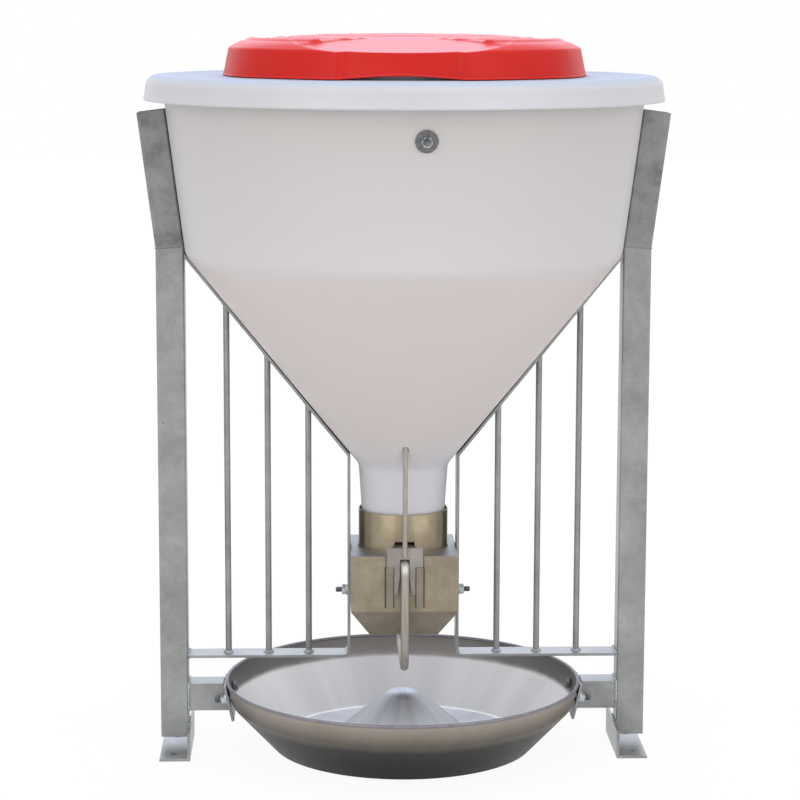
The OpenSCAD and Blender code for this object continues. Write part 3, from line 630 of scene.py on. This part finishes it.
# Brush lines, about 0.2 mm apart, are drawn 1.2 mm apart so that they show
lines = streaks(place, 1.2, 60, 3)
mixed = maths("MULTIPLY_ADD", lines, 0.22, noise(place, 38, 6, 0.68))
yellowed = tinted(mixed, (0.36, "#837a6b"), (0.58, "#988d78"), (0.84, "#aa9f8a"))
# Dust and painted shade lie on the box's front between the guides, behind the gate, and grow darker upwards
# from the gate's feet
dust_in, dust_out, dust_low, dust_high, face_depth = 24, 29, 240, 264, 0.35
box_low, box_high = size_of("outlet_box")
spot = axes(place)
off = maths("ABSOLUTE", spot["X"])
inner = ranged(off, dust_in * MM, dust_out * MM, 1, 0)
front = maths("COMPARE", spot["Y"], box_low.y * MM, face_depth * MM)
above = ranged(spot["Z"], dust_low * MM, dust_high * MM)
dust_and_shade = maths("MULTIPLY", maths("MULTIPLY", inner, front), above)
# The guides, in front of that face, get painted shade along their cut edges
edge_shade_from, edge_shade_full, guide_ahead = 1.6, 0.6, 1
guide_low, guide_high = size_of("right_gate_guide")
guide_mid, guide_half = (guide_low.x + guide_high.x) / 2, (guide_high.x - guide_low.x) / 2
from_mid = maths("ABSOLUTE", maths("SUBTRACT", off, guide_mid * MM))
guide_edge_shade = ranged(from_mid, (guide_half - edge_shade_from) * MM, (guide_half - edge_shade_full) * MM)
ahead = maths("LESS_THAN", spot["Y"], (box_low.y - guide_ahead) * MM)
dust_and_shade = maths("MAXIMUM", dust_and_shade, maths("MULTIPLY", guide_edge_shade, ahead))
# Level faces are painted greyer, as the cool light from above falls on them
sky_greyed_tops = blend(level_share(place, 0.6, 0.9), yellowed, linear("#8f9194"))
# The guides are cut from newer sheet, greyer than the box
guided = blend(ahead, sky_greyed_tops, tinted(mixed, (0.36, "#80796d"), (0.84, "#9a9284")))
give(shader, {"Base Color": blend(dust_and_shade, guided, linear("#453e36")), "Roughness": between(lines, 0.36, 0.54)})
eased("outlet_box", box_stainless, 1.6, 3,
      lambda length, ends: length > 40 and min(p.z for p in ends) > box_low.z + 1, "stainless_box")

# Collar: a rolled stainless band that takes the hopper's neck, welded to the box, with a slot for the gate's tongue.
# Rolling leaves it smoother and brighter than the folded box.
band_stainless = speckled(
    "rolled_stainless_band", {"Metallic": 0.9, "Roughness": 0.33}, (30, 6, 0.65), "#877c68", "#9e937e")
(_, _, collar_z), (collar_r, _, collar_top) = size_of("collar")
sheet = 1.5
collar_in = collar_r - sheet
collar = turned("collar_piece", [
    (collar_in, collar_z), (collar_r, collar_z), (collar_r, collar_top - 0.5), (collar_r - 0.2, collar_top - 0.1),
    (collar_r - 0.6, collar_top), (collar_in + 0.4, collar_top), (collar_in, collar_top - 0.4)], 128, band_stainless)


def cut(made, tool_name, tool):
    """Cuts the shape of a bmesh in millimetres out of a piece."""
    bmesh.ops.scale(tool, vec=(MM, MM, MM), verts=tool.verts)
    knife = linked(tool_name, mesh_of(tool_name, tool))
    step = made.modifiers.new("cut", "BOOLEAN")
    step.operation, step.object, step.solver = "DIFFERENCE", knife, "EXACT"
    sharpened(plain(made).data)
    bpy.data.objects.remove(knife)


slot_w, slot_low, slot_h = 28, 9, 9
punch = bmesh.new()
slot_at = Matrix.Translation((0, -collar_r, collar_z + slot_low + slot_h / 2))
bmesh.ops.create_cube(punch, size=1, matrix=slot_at @ Matrix.Diagonal((slot_w, collar_r, slot_h, 1)))
cut(collar, "slot_punch", punch)
dress(collar, "stand", "stainless_box", "collar")

# Gate guides: two strips of stainless sheet, folded to an angle.
# They are welded to the box's front, and the gate slides behind them.
for node in ("left_gate_guide", "right_gate_guide"):
    eased(node, box_stainless, 0.45, 2, 30, "stainless_box")

# Stainless welds: fine runs of filler metal along the guides, tinted brown by their heat.
# A brighter bead runs round the collar's foot.
burnt_weld = speckled("heat_tinted_weld", {"Metallic": 0.5, "Roughness": 0.5}, (4, 4), "#3f362e", "#75695a")
guide_runs, box_face = [], box_low.y - 0.1
for side in (-1, 1):
    guide_runs.append([(side * (guide_high.x + 0.2), box_face, z) for z in (guide_low.z, guide_high.z)])
    guide_runs.append([(side * x, box_face, guide_low.z - 0.3) for x in (guide_high.x - sheet, guide_high.x)])
collar_run = [[(x, y, collar_z + 0.3) for x, y in ring_at(0, 0, collar_r, 72)]]
guide_bead, collar_bead, fine_pitch = 1.6, 2.2, 0.6
welded("guide_welds", guide_runs, guide_bead * fine_pitch, guide_bead, burnt_weld, "stainless_box")
welded("collar_weld", collar_run, collar_bead * fine_pitch, collar_bead, box_stainless, "stainless_box")

# Box bolts: the two zinc-plated bolts that hold the box between the guard strips.
# Their heads are inside the box, and their washers and nuts outside the strips.
box_bolt_drop, strip_out = 65, strip_x + strip_t / 2
bolted("box", strip_t + sheet, [((side * strip_out, 0, box_high.z - box_bolt_drop), (side, 0, 0)) for side in (-1, 1)])

# Feed lever: one stainless round bar bent to a closed stirrup. Its ends are the shaft in the box's walls, and
# animals push its legs sideways. Handling keeps it satin.
bar_stainless, shader, place = finish_of("drawn_stainless_bar", {"Metallic": 0.7})
lines = streaks(place, 1.5, 50, 4)
satin = tinted(lines, (0.3, "#99938a"), (0.72, "#b8b2a8"))
# A painted highlight where the bar bends into the box
glint_from, glint_full, glint_end = 20, 7, 2
up = axes(place)["Z"]
lever_box_low, lever_box_high = size_of("feed_lever")
bend_highlight = ranged(up, (lever_box_high.z - glint_from) * MM, (lever_box_high.z - glint_full) * MM)
below = maths("LESS_THAN", up, (lever_box_high.z + glint_end) * MM)
highlighted = blend(maths("MULTIPLY", bend_highlight, below), satin, linear("#d5d2cc"))
give(shader, {"Base Color": highlighted, "Roughness": between(lines, 0.3, 0.44)})


def swept(name, line, radius, material, tip=0.0, count=28):
    """A round bar along a line of (y, z) points in millimetres, with chamfered tips."""
    stations = [(p, radius) for p in line]
    if tip:
        first, last = (line[1] - line[0]).normalized(), (line[-2] - line[-1]).normalized()
        stations = [(line[0], radius - tip), (line[0] + first * tip, radius)] + stations[1:-1]
        stations += [(line[-1] + last * tip, radius), (line[-1], radius - tip)]
    rings = []
    for i, (p, r) in enumerate(stations):
        ahead = (stations[min(i + 1, len(stations) - 1)][0] - stations[max(i - 1, 0)][0]).normalized()
        out = Vector((-ahead.y, ahead.x))
        turns = [(sin(tau * k / count), p + out * r * cos(tau * k / count)) for k in range(count)]
        rings.append([(r * across, q.x, q.y) for across, q in turns])
    return skinned(name, rings, count, material, caps=True)


bar_r, elbow_r, loop_r, stub = 6, 12, 26, 6
lever_y, shaft_z, lever_low = lever_box_high.y - bar_r, lever_box_high.z - bar_r, lever_box_low.z + bar_r
lever_line = rounded(
    [(-stub, shaft_z), (-lever_y, shaft_z), (-lever_y, lever_low), (lever_y, lever_low), (lever_y, shaft_z),
     (stub, shaft_z)], [elbow_r, loop_r, loop_r, elbow_r], 14)
lever = swept("feed_lever_piece", lever_line, bar_r, bar_stainless)
dress(lever, "lever", "stainless_bar", "feed_lever")

# Stirrer: the sleeve and blade inside the box, of plain stainless steel.
# It is pressed on the lever's shaft, and its CAD shape stays as it is.
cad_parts["stirrer"].data.materials.clear()
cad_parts["stirrer"].data.materials.append(bar_stainless)

# Feed gate: a slotted stainless plate that slides behind the guides. Its tongue goes through the collar's slot.
# It is newer and greyer sheet than the box.
gate_stainless = speckled(
    "cut_stainless_plate", {"Metallic": 0.55, "Roughness": 0.44}, (22, 6, 0.6), "#8f8983", "#a8a39e")
eased("feed_gate", gate_stainless, 0.3, 2, 6, "stainless_box", "gate")

# Pull rod: a stainless round bar welded to the gate's face by its foot.
# It leans forwards, and its upper end goes into the hopper's cone.
pull_r, pull_lap, pull_lean, pull_tip = 3.5, 13, radians(3.5), 0.8
gate_top, pull_y = size_of("feed_gate")[1].z, size_of("pull_rod")[1].y - pull_r * cos(pull_lean)
pull_low, pull_high = gate_top - pull_lap, size_of("pull_rod")[1].z - pull_r * sin(pull_lean)
pull_line = [Vector((pull_y - (z - pull_low) * tan(pull_lean), z))
             for z in (pull_low, (pull_low + pull_high) / 2, pull_high)]
pull_rod = swept("pull_rod_piece", pull_line, pull_r, bar_stainless, tip=pull_tip)
dress(pull_rod, "gate", "stainless_bar", "pull_rod")
lap_x, lap_y = pull_r - 0.4, pull_y + pull_r - 0.4
lap_runs = [[(side * lap_x, lap_y, z) for z in (pull_low + 1, gate_top - 0.5)] for side in (-1, 1)]
pull_ring = ring_at(0, pull_y - pull_lap * tan(pull_lean), pull_r + 0.3)
lap_runs.append([(x, y, gate_top + 0.6) for x, y in pull_ring])
welded("pull_rod_welds", lap_runs, 1.4, 2.4, bar_stainless, "stainless_bar", "gate")

# Hopper: one piece of natural polyethylene, rotationally moulded. It is milky and lets light into its wall;
# its side is painted cool white, and its cone, turned down to the ground, is painted warmer as light bounced
# from the ground.
hopper_pe, shader, place = finish_of("rotomoulded_natural_polyethylene", {
    "Roughness": 0.46, "IOR": 1.5, "Subsurface Weight": 0.1, "Subsurface Scale": 0.02,
    "Subsurface Radius": (1, 0.9, 0.8)})
drift = maths("MULTIPLY_ADD", noise(place, 120, 5, 0.55), 0.03, axes(place)["Z"])
# From 320 mm, at the neck, to 980 mm, at the rim; the cone's band is painted warmer, as bounced light
milky_with_bounce = tinted(
    ranged(drift, 320 * MM, 980 * MM), (0.16, "#dedee2"), (0.26, "#e0d8d2"), (0.6, "#e1d8d2"), (0.65, "#dedbdd"),
    (0.95, "#d7d4d1"))
# The mould's skin: a very fine orange peel, a few millimetres across
give(shader, {"Base Color": milky_with_bounce, "Normal": bumped(noise(place, 5, 2), 0.04)})

hopper_low, hopper_high = size_of("hopper")
hopper_wall, neck_taper, rim_w = 5, 6.5, 12.5
rim_z, neck_z = hopper_high.z - hopper_wall, hopper_low.z
side_top = side_foot + (rim_z - seam_z) * tan(lean)
neck_bend, shoulder_bend, rim_bend = 22, 26, 5
hopper_line = rounded(
    [(neck_r - neck_taper, neck_z), (neck_r, neck_top), (shoulder_r, shoulder_z), (side_top, rim_z),
     (side_top + rim_w, rim_z)], [neck_bend, shoulder_bend, rim_bend], 10)
hopper_outline = [tuple(p) for p in hopper_line + beside(hopper_line, hopper_wall)[::-1]]
hopper = turned("hopper_piece", hopper_outline, 224, hopper_pe)
# The hole that the pull rod passes through, along the rod
pull_clear, hole_from, hole_to = 1, 123, 270
drill = bmesh.new()
drill_at = (Matrix.Translation((0, pull_y, pull_low)) @ Matrix.Rotation(pull_lean, 4, "X")
            @ Matrix.Translation((0, 0, (hole_from + hole_to) / 2)))
bmesh.ops.create_cone(drill, cap_ends=True, segments=32, radius1=pull_r + pull_clear, radius2=pull_r + pull_clear,
                      depth=hole_to - hole_from, matrix=drill_at)
cut(hopper, "pull_rod_drill", drill)
dress(hopper, "stand", "hopper_pe", "hopper")

# Hopper bolt: a single bolt through the hopper's side, square to it, with a large washer inside and outside.
# The washers have weathered to a dull grey.
dull_zinc = speckled("weathered_zinc_plate", {"Metallic": 0.6}, (4, 5, 0.65), "#58595a", "#828384", (0.55, 0.38))
bin_bolt_drop, bin_turn, bin_washer_d = 66, radians(3), 30
bin_bolt_z = rim_z - bin_bolt_drop
bin_r = side_foot + (bin_bolt_z - seam_z) * tan(lean)
bin_out = Vector((sin(bin_turn) * cos(lean), -cos(bin_turn) * cos(lean), -sin(lean)))
bin_seat = Vector((bin_r * sin(bin_turn), -bin_r * cos(bin_turn), bin_bolt_z))
outer, inner = ((bin_seat + bin_out * off, bin_out) for off in (gap, -hopper_wall - washer_t - 2 * gap))
fastened("hopper_bolt", bolt_shape(hopper_wall + washer_t + 3 * gap), [outer], bolt_steel)
fastened("hopper_washers", washer_shape(bin_washer_d), [outer, inner], dull_zinc)
fastened("hopper_nut", nut_shape(), [outer], zinc_plate, washer_t)

# Cover: a moulded polyethylene disc with a drafted skirt that hangs over the hopper's rim, a small lip at its foot,
# a raised border, an inner panel and an upstand round the filler mouth. It lifts off.
cover_pe, shader, place = finish_of("moulded_white_polyethylene", {
    "IOR": 1.5, "Subsurface Weight": 0.08, "Subsurface Scale": 0.015, "Subsurface Radius": (1, 0.95, 0.9)})
white = tinted(noise(place, 150, 4), (0.3, "#d3d4d6"), (0.7, "#d9dadd"))
# Its top is painted a cooler, darker white than the skirt, as the sky light falls on it, and it is duller
level = level_share(place, 0.5, 0.95)
give(shader, {"Base Color": blend(level, white, linear("#bfc8d4")), "Roughness": between(level, 0.36, 0.65),
              "Specular IOR Level": between(level, 0.5, 0.04)})

cover_high = size_of("hopper_cover")[1]
skirt_r, skirt_h, skirt_draft, cover_wall = cover_high.x, 34.5, 5, 4
mouth_top, mouth_h, mouth_out = cover_high.z, 28, 225.8
mouth_z = mouth_top - mouth_h
cover_z = mouth_z + 0.5
skirt_z, border_w, panel_step, panel_drop = cover_z - skirt_h, 33, 6, 2.5
border_r = skirt_r - skirt_draft - border_w
lip_h, lip_out = 5, 1
cover_points = [(skirt_r - lip_out, skirt_z + lip_h), (skirt_r - skirt_draft, cover_z), (border_r, cover_z),
                (border_r - panel_step, cover_z - panel_drop), (mouth_out, mouth_z), (mouth_out, mouth_top)]
cover_line, inner_line = (rounded(cover_points, [edge, 4, 4, 8], 10) for edge in (16, 10))
lip = [(skirt_r - drawn, skirt_z + up) for drawn, up in (
    (4.8, 0.6), (4.2, 0), (1.4, 0), (0.4, 0.4), (0, 1.4), (0, 2.8), (0.3, 3.8), (0.7, 4.5))]
cover_outline = lip + [tuple(p) for p in cover_line + beside(inner_line, cover_wall)[::-1]]
cover = turned("hopper_cover_piece", cover_outline, 256, cover_pe)
dress(cover, "cover", "cover_pe", "hopper_cover")

# Filler lid: red polyethylene, moulded with a nine-sided wall, three finger grips, a soft shoulder and a
# crowned top with three rings and short ribs between them. It lies loose over the filler mouth.

# Red polyethylene: a matt moulded grain, and the same plastic rubbed smooth where hands lift it
lid_finishes = []
for name, rough, gloss in (("moulded_red_polyethylene", 0.42, 0.25), ("rubbed_red_polyethylene", 0.34, 0.38)):
    finish, shader, place = finish_of(name, {
        "Roughness": rough, "IOR": 1.5, "Specular IOR Level": gloss, "Subsurface Weight": 0.03,
        "Subsurface Scale": 0.005})
    red = tinted(noise(place, 90, 4), (0.3, "#d51d14"), (0.7, "#dc241b"))
    give(shader, {"Base Color": red, "Normal": bumped(noise(place, 1.5, 2), 0.06 * rough)})
    lid_finishes.append(finish)

lid_z, lid_top = (corner.z for corner in size_of("filler_lid"))
lid_r, lid_draft, lid_wall, lid_sides, lid_yaw = 256, 6.6, 3, 9, radians(-3)
lid_dome, dome_r, slope_r, grip_depth, grip_arch, grip_end = 9, 212, 224, 8, 5, radians(3)
wall_h, shoulder_round, shoulder_from, shoulder_to = 35, 7, radians(12), radians(64)
# The crown's rings by radius, height and half width, and the ribs' height and half width
crown_rings, rib_h, rib_half = ((214, 3.4, 9), (176, 1.4, 7), (120, 0.9, 5)), 0.8, 6
# The face above a grip slopes up from this height and radius, inside a round scoop
face_h, face_r, face_slope, face_soft = 36, 234, 0.2, 1.2
scoop_out, scoop_r, scoop_edge = 338, 195, 6
# How far the sides are flattened, and how softly they run into the round corners
side_share, corner_soft = 0.45, 0.016
facet = tau / lid_sides
flat_share, arch_pace, arch_power, rubbed_level, rubbed_reach = 0.72, 4.4, 1.3, 0.7, 0.4
lid_flat = cos(facet / 2 * flat_share)


def grip_turn(a, facets=3):
    """Angle from the middle of the nearest grip, which every third facet is, or of the nearest facet."""
    return a - lid_yaw - round((a - lid_yaw) / (facets * facet)) * facets * facet


def soft_step(t):
    """A step from 0 to 1 with soft ends."""
    t = min(1, max(0, t))
    return t * t * (3 - 2 * t)


def grip_share(a):
    """Share of the grip's depth at an angle, with soft steps at its ends."""
    return soft_step((facet / 2 - abs(grip_turn(a))) / grip_end)


def dome_z(r):
    """Height of the lid's plain dome at a radius."""
    return lid_top - lid_dome * (r / dome_r) ** 2


def crown_z(r, a):
    """Height of the lid's top: its dome with three raised rings and ribs between them."""
    z = dome_z(r)
    for ring, rise, wide in crown_rings:
        z += rise * max(0, 1 - ((r - ring) / wide) ** 2)
    if crown_rings[-1][0] < r < crown_rings[0][0]:
        z += rib_h * max(0, 1 - (grip_turn(a + facet / 2, 1) * r / rib_half) ** 2)
    return z


def face_z(r, a):
    """Height of the sloping face above the nearest grip."""
    return lid_z + face_h + (face_r - r * cos(grip_turn(a))) * face_slope


def faced(r, a, z):
    """A height cut down to the sloping face above a grip, which ends in a soft arch on the dome."""
    face = face_z(r, a)
    down = min(z, face) - max(0, face_soft - abs(z - face)) ** 2 / (4 * face_soft)
    from_middle = Vector((scoop_out - r * cos(grip_turn(a)), r * sin(grip_turn(a)))).length
    return z + (down - z) * soft_step((scoop_r - from_middle) / scoop_edge)


def wall_r(a, drawn):
    """Radius of the lid's wall, drawn in by a distance, with softly flattened sides, round corners and grips."""
    inside = 1 - lid_flat / cos(grip_turn(a, 1))
    plan = 1 - side_share * (inside + (inside ** 2 + corner_soft ** 2) ** 0.5) / 2
    return (lid_r - drawn) * plan - grip_depth * grip_share(a)


def lid_row(drawn, up, arch=0.0, inner=0.0, sunk=0.0):
    """A row of the lid's wall or its inner side, drawn in and lifted, with its foot arched at the grips."""
    def height(a):
        arched = grip_arch * max(0, cos(grip_turn(a) * arch_pace)) ** arch_power * grip_share(a)
        return faced(wall_r(a, drawn), a, lid_z + up) + arch * arched - sunk

    return (lambda a: wall_r(a, drawn) - inner, height)


# The wall with a thin lip at its foot, then the round of the shoulder and the slope up to the crown
wall_steps, shoulder_steps, slope_steps, lip_up = 8, 10, 14, 2.8
lid_rows = [lid_row(drawn, up, 1) for drawn, up in ((0.2, 0), (-1, 0.3), (-1.3, 1), (-1, 1.8), (0.2, lip_up))]
lid_rows += [lid_row(lid_draft * k / wall_steps, lip_up + (wall_h - lip_up) * k / wall_steps, max(0, 0.9 - k / 4))
             for k in range(1, wall_steps + 1)]
for k in range(1, shoulder_steps + 1):
    a = shoulder_from + (shoulder_to - shoulder_from) * k / shoulder_steps
    edge_in = lid_draft + shoulder_round * (cos(shoulder_from) - cos(a))
    edge_up = wall_h + shoulder_round * (sin(a) - sin(shoulder_from))
    lid_rows.append(lid_row(edge_in, edge_up))


def slope_row(t):
    """A row of the slope between the shoulder and the crown, a share of the way in."""
    def radius(a):
        return (1 - t) * wall_r(a, edge_in) + t * slope_r

    rise = 1 - (1 - t) ** 1.6
    return (radius, lambda a: faced(radius(a), a, (1 - rise) * (lid_z + edge_up) + rise * crown_z(slope_r, a)))


lid_rows += [slope_row(k / slope_steps) for k in range(1, slope_steps + 1)]
crown_radii = list(range(222, 132, -2)) + list(range(126, 112, -2)) + [100, 80, 55, 25]
lid_rows += [(r, lambda a, r=r: faced(r, a, crown_z(r, a))) for r in crown_radii] + [(0, lid_top)]
under = [(0, lid_top - lid_wall)]
under += [(r, lambda a, r=r: faced(r, a, dome_z(r)) - lid_wall) for r in (60, 120, 170, 195, 210)]
under += [lid_row(edge_in, edge_up, 0, lid_wall, lid_wall), lid_row(lid_draft, wall_h, 0, lid_wall),
          lid_row(0.2, 0, 1, lid_wall)]
lid = turned("filler_lid_piece", under + lid_rows, 432, *lid_finishes, closed=False)
# The level part of each face is where hands have rubbed it
for side in lid.data.polygons:
    p = side.center / MM
    if side.normal.z > rubbed_level and abs(p.z - face_z(p.xy.length, atan2(p.x, -p.y))) < rubbed_reach:
        side.material_index = 1
dress(lid, "lid", "lid_red", "filler_lid")

# Stage: a pale studio floor that fades to white, soft lamps above and at both sides, and the camera
# where the photograph was taken.


def seen_white(tree):
    """A factor of 1 for what the camera sees straight, in metal or through glass."""
    path = add(tree, "ShaderNodeLightPath").outputs
    straight = maths("MAXIMUM", path["Is Camera Ray"], path["Is Glossy Ray"])
    return maths("MAXIMUM", straight, path["Is Transmission Ray"])


def cleared(owner):
    """The node tree of a material or world, emptied."""
    owner.use_nodes = True
    owner.node_tree.nodes.clear()
    return owner.node_tree


floor_finish = bpy.data.materials.new("white_studio_floor")
tree = cleared(floor_finish)
place = add(tree, "ShaderNodeTexCoord").outputs["Object"]
# Near the object the floor is partly lit, so that the shadow shows; from 1.2 m on it is plain white
fade = ranged(vectors("LENGTH", place)["Value"], 0.35, 1.2, 0.92, 1, interpolation_type="SMOOTHSTEP")
share = maths("MULTIPLY", fade, seen_white(tree))
# In the feet's bolt holes the floor is only lit, so that they stay dark
foot_hole_y, foot_hole_r = 44, 8
mirrored = vectors("ABSOLUTE", place)["Vector"]
hole_off = vectors("DISTANCE", mirrored, (leg_x * MM, foot_hole_y * MM, 0))["Value"]
share = maths("MULTIPLY", share, maths("GREATER_THAN", hole_off, foot_hole_r * MM))
matt = add(tree, "ShaderNodeBsdfDiffuse", {"Color": linear("#f2f2f2")})
glow = add(tree, "ShaderNodeEmission", {"Color": (1, 1, 1, 1), "Strength": 1.02})
add(tree, "ShaderNodeOutputMaterial", {"Surface": add(tree, "ShaderNodeMixShader", {0: share, 1: matt, 2: glow})})
bm = bmesh.new()
bmesh.ops.create_circle(bm, cap_ends=True, segments=96, radius=14)
floor = linked("studio_floor", mesh_of("studio_floor", bm))
floor.data.materials.append(floor_finish)

world = bpy.data.worlds.new("studio")
bpy.context.scene.world = world
tree = cleared(world)
soft = add(tree, "ShaderNodeBackground", {"Color": linear("#f6f3f1"), "Strength": 0.5})
white = add(tree, "ShaderNodeBackground", {"Color": (1, 1, 1, 1), "Strength": 1})
sky = add(tree, "ShaderNodeMixShader", {0: seen_white(tree), 1: soft, 2: white})
add(tree, "ShaderNodeOutputWorld", {"Surface": sky})

# A warm key from the front left, a fill, a wide bluish lamp overhead like an open sky, and one behind
for name, spot_at, width, power, colour in (
        ("key_lamp", (-2.2, -2.8, 1.9), 3.0, 32, "#fff8f2"), ("fill_lamp", (2.4, -2.6, 1.8), 3.0, 28, "#fff8f2"),
        ("sky_lamp", (0, -0.3, 3.4), 3.4, 56, "#dae6ff"), ("back_lamp", (0, 3.4, 2.9), 3.2, 60, "#d6e4ff")):
    lamp = bpy.data.lights.new(name, "AREA")
    lamp.shape, lamp.size, lamp.energy, lamp.color = "SQUARE", width, power, linear(colour)[:3]
    lamp_at = linked(name, lamp)
    lamp_at.location = spot_at
    lamp_at.rotation_euler = (Vector((0, 0, 0.6)) - Vector(spot_at)).to_track_quat("-Z", "Y").to_euler()

# The camera was fitted to the photograph by least squares on the legs, rims and outlet
distance, azimuth, eye_z = 3.5855, radians(2.016), 1.07565
heading, pitch, roll, focal_px, image_px, sensor_mm = radians(1.9386), radians(8.938), radians(-0.16), 2538.2, 800, 36
lens = bpy.data.cameras.new("camera")
lens.sensor_width, lens.lens = sensor_mm, focal_px / image_px * sensor_mm
lens.clip_start, lens.clip_end = 0.05, 200
camera = linked("camera", lens)
camera.matrix_world = (
    Matrix.Translation((-distance * sin(azimuth), -distance * cos(azimuth), eye_z)) @ Matrix.Rotation(-heading, 4, "Z")
    @ Matrix.Rotation(pi / 2 - pitch, 4, "X") @ Matrix.Rotation(-roll, 4, "Z"))
bpy.context.scene.camera = camera
bpy.context.scene.view_settings.view_transform = "Standard"
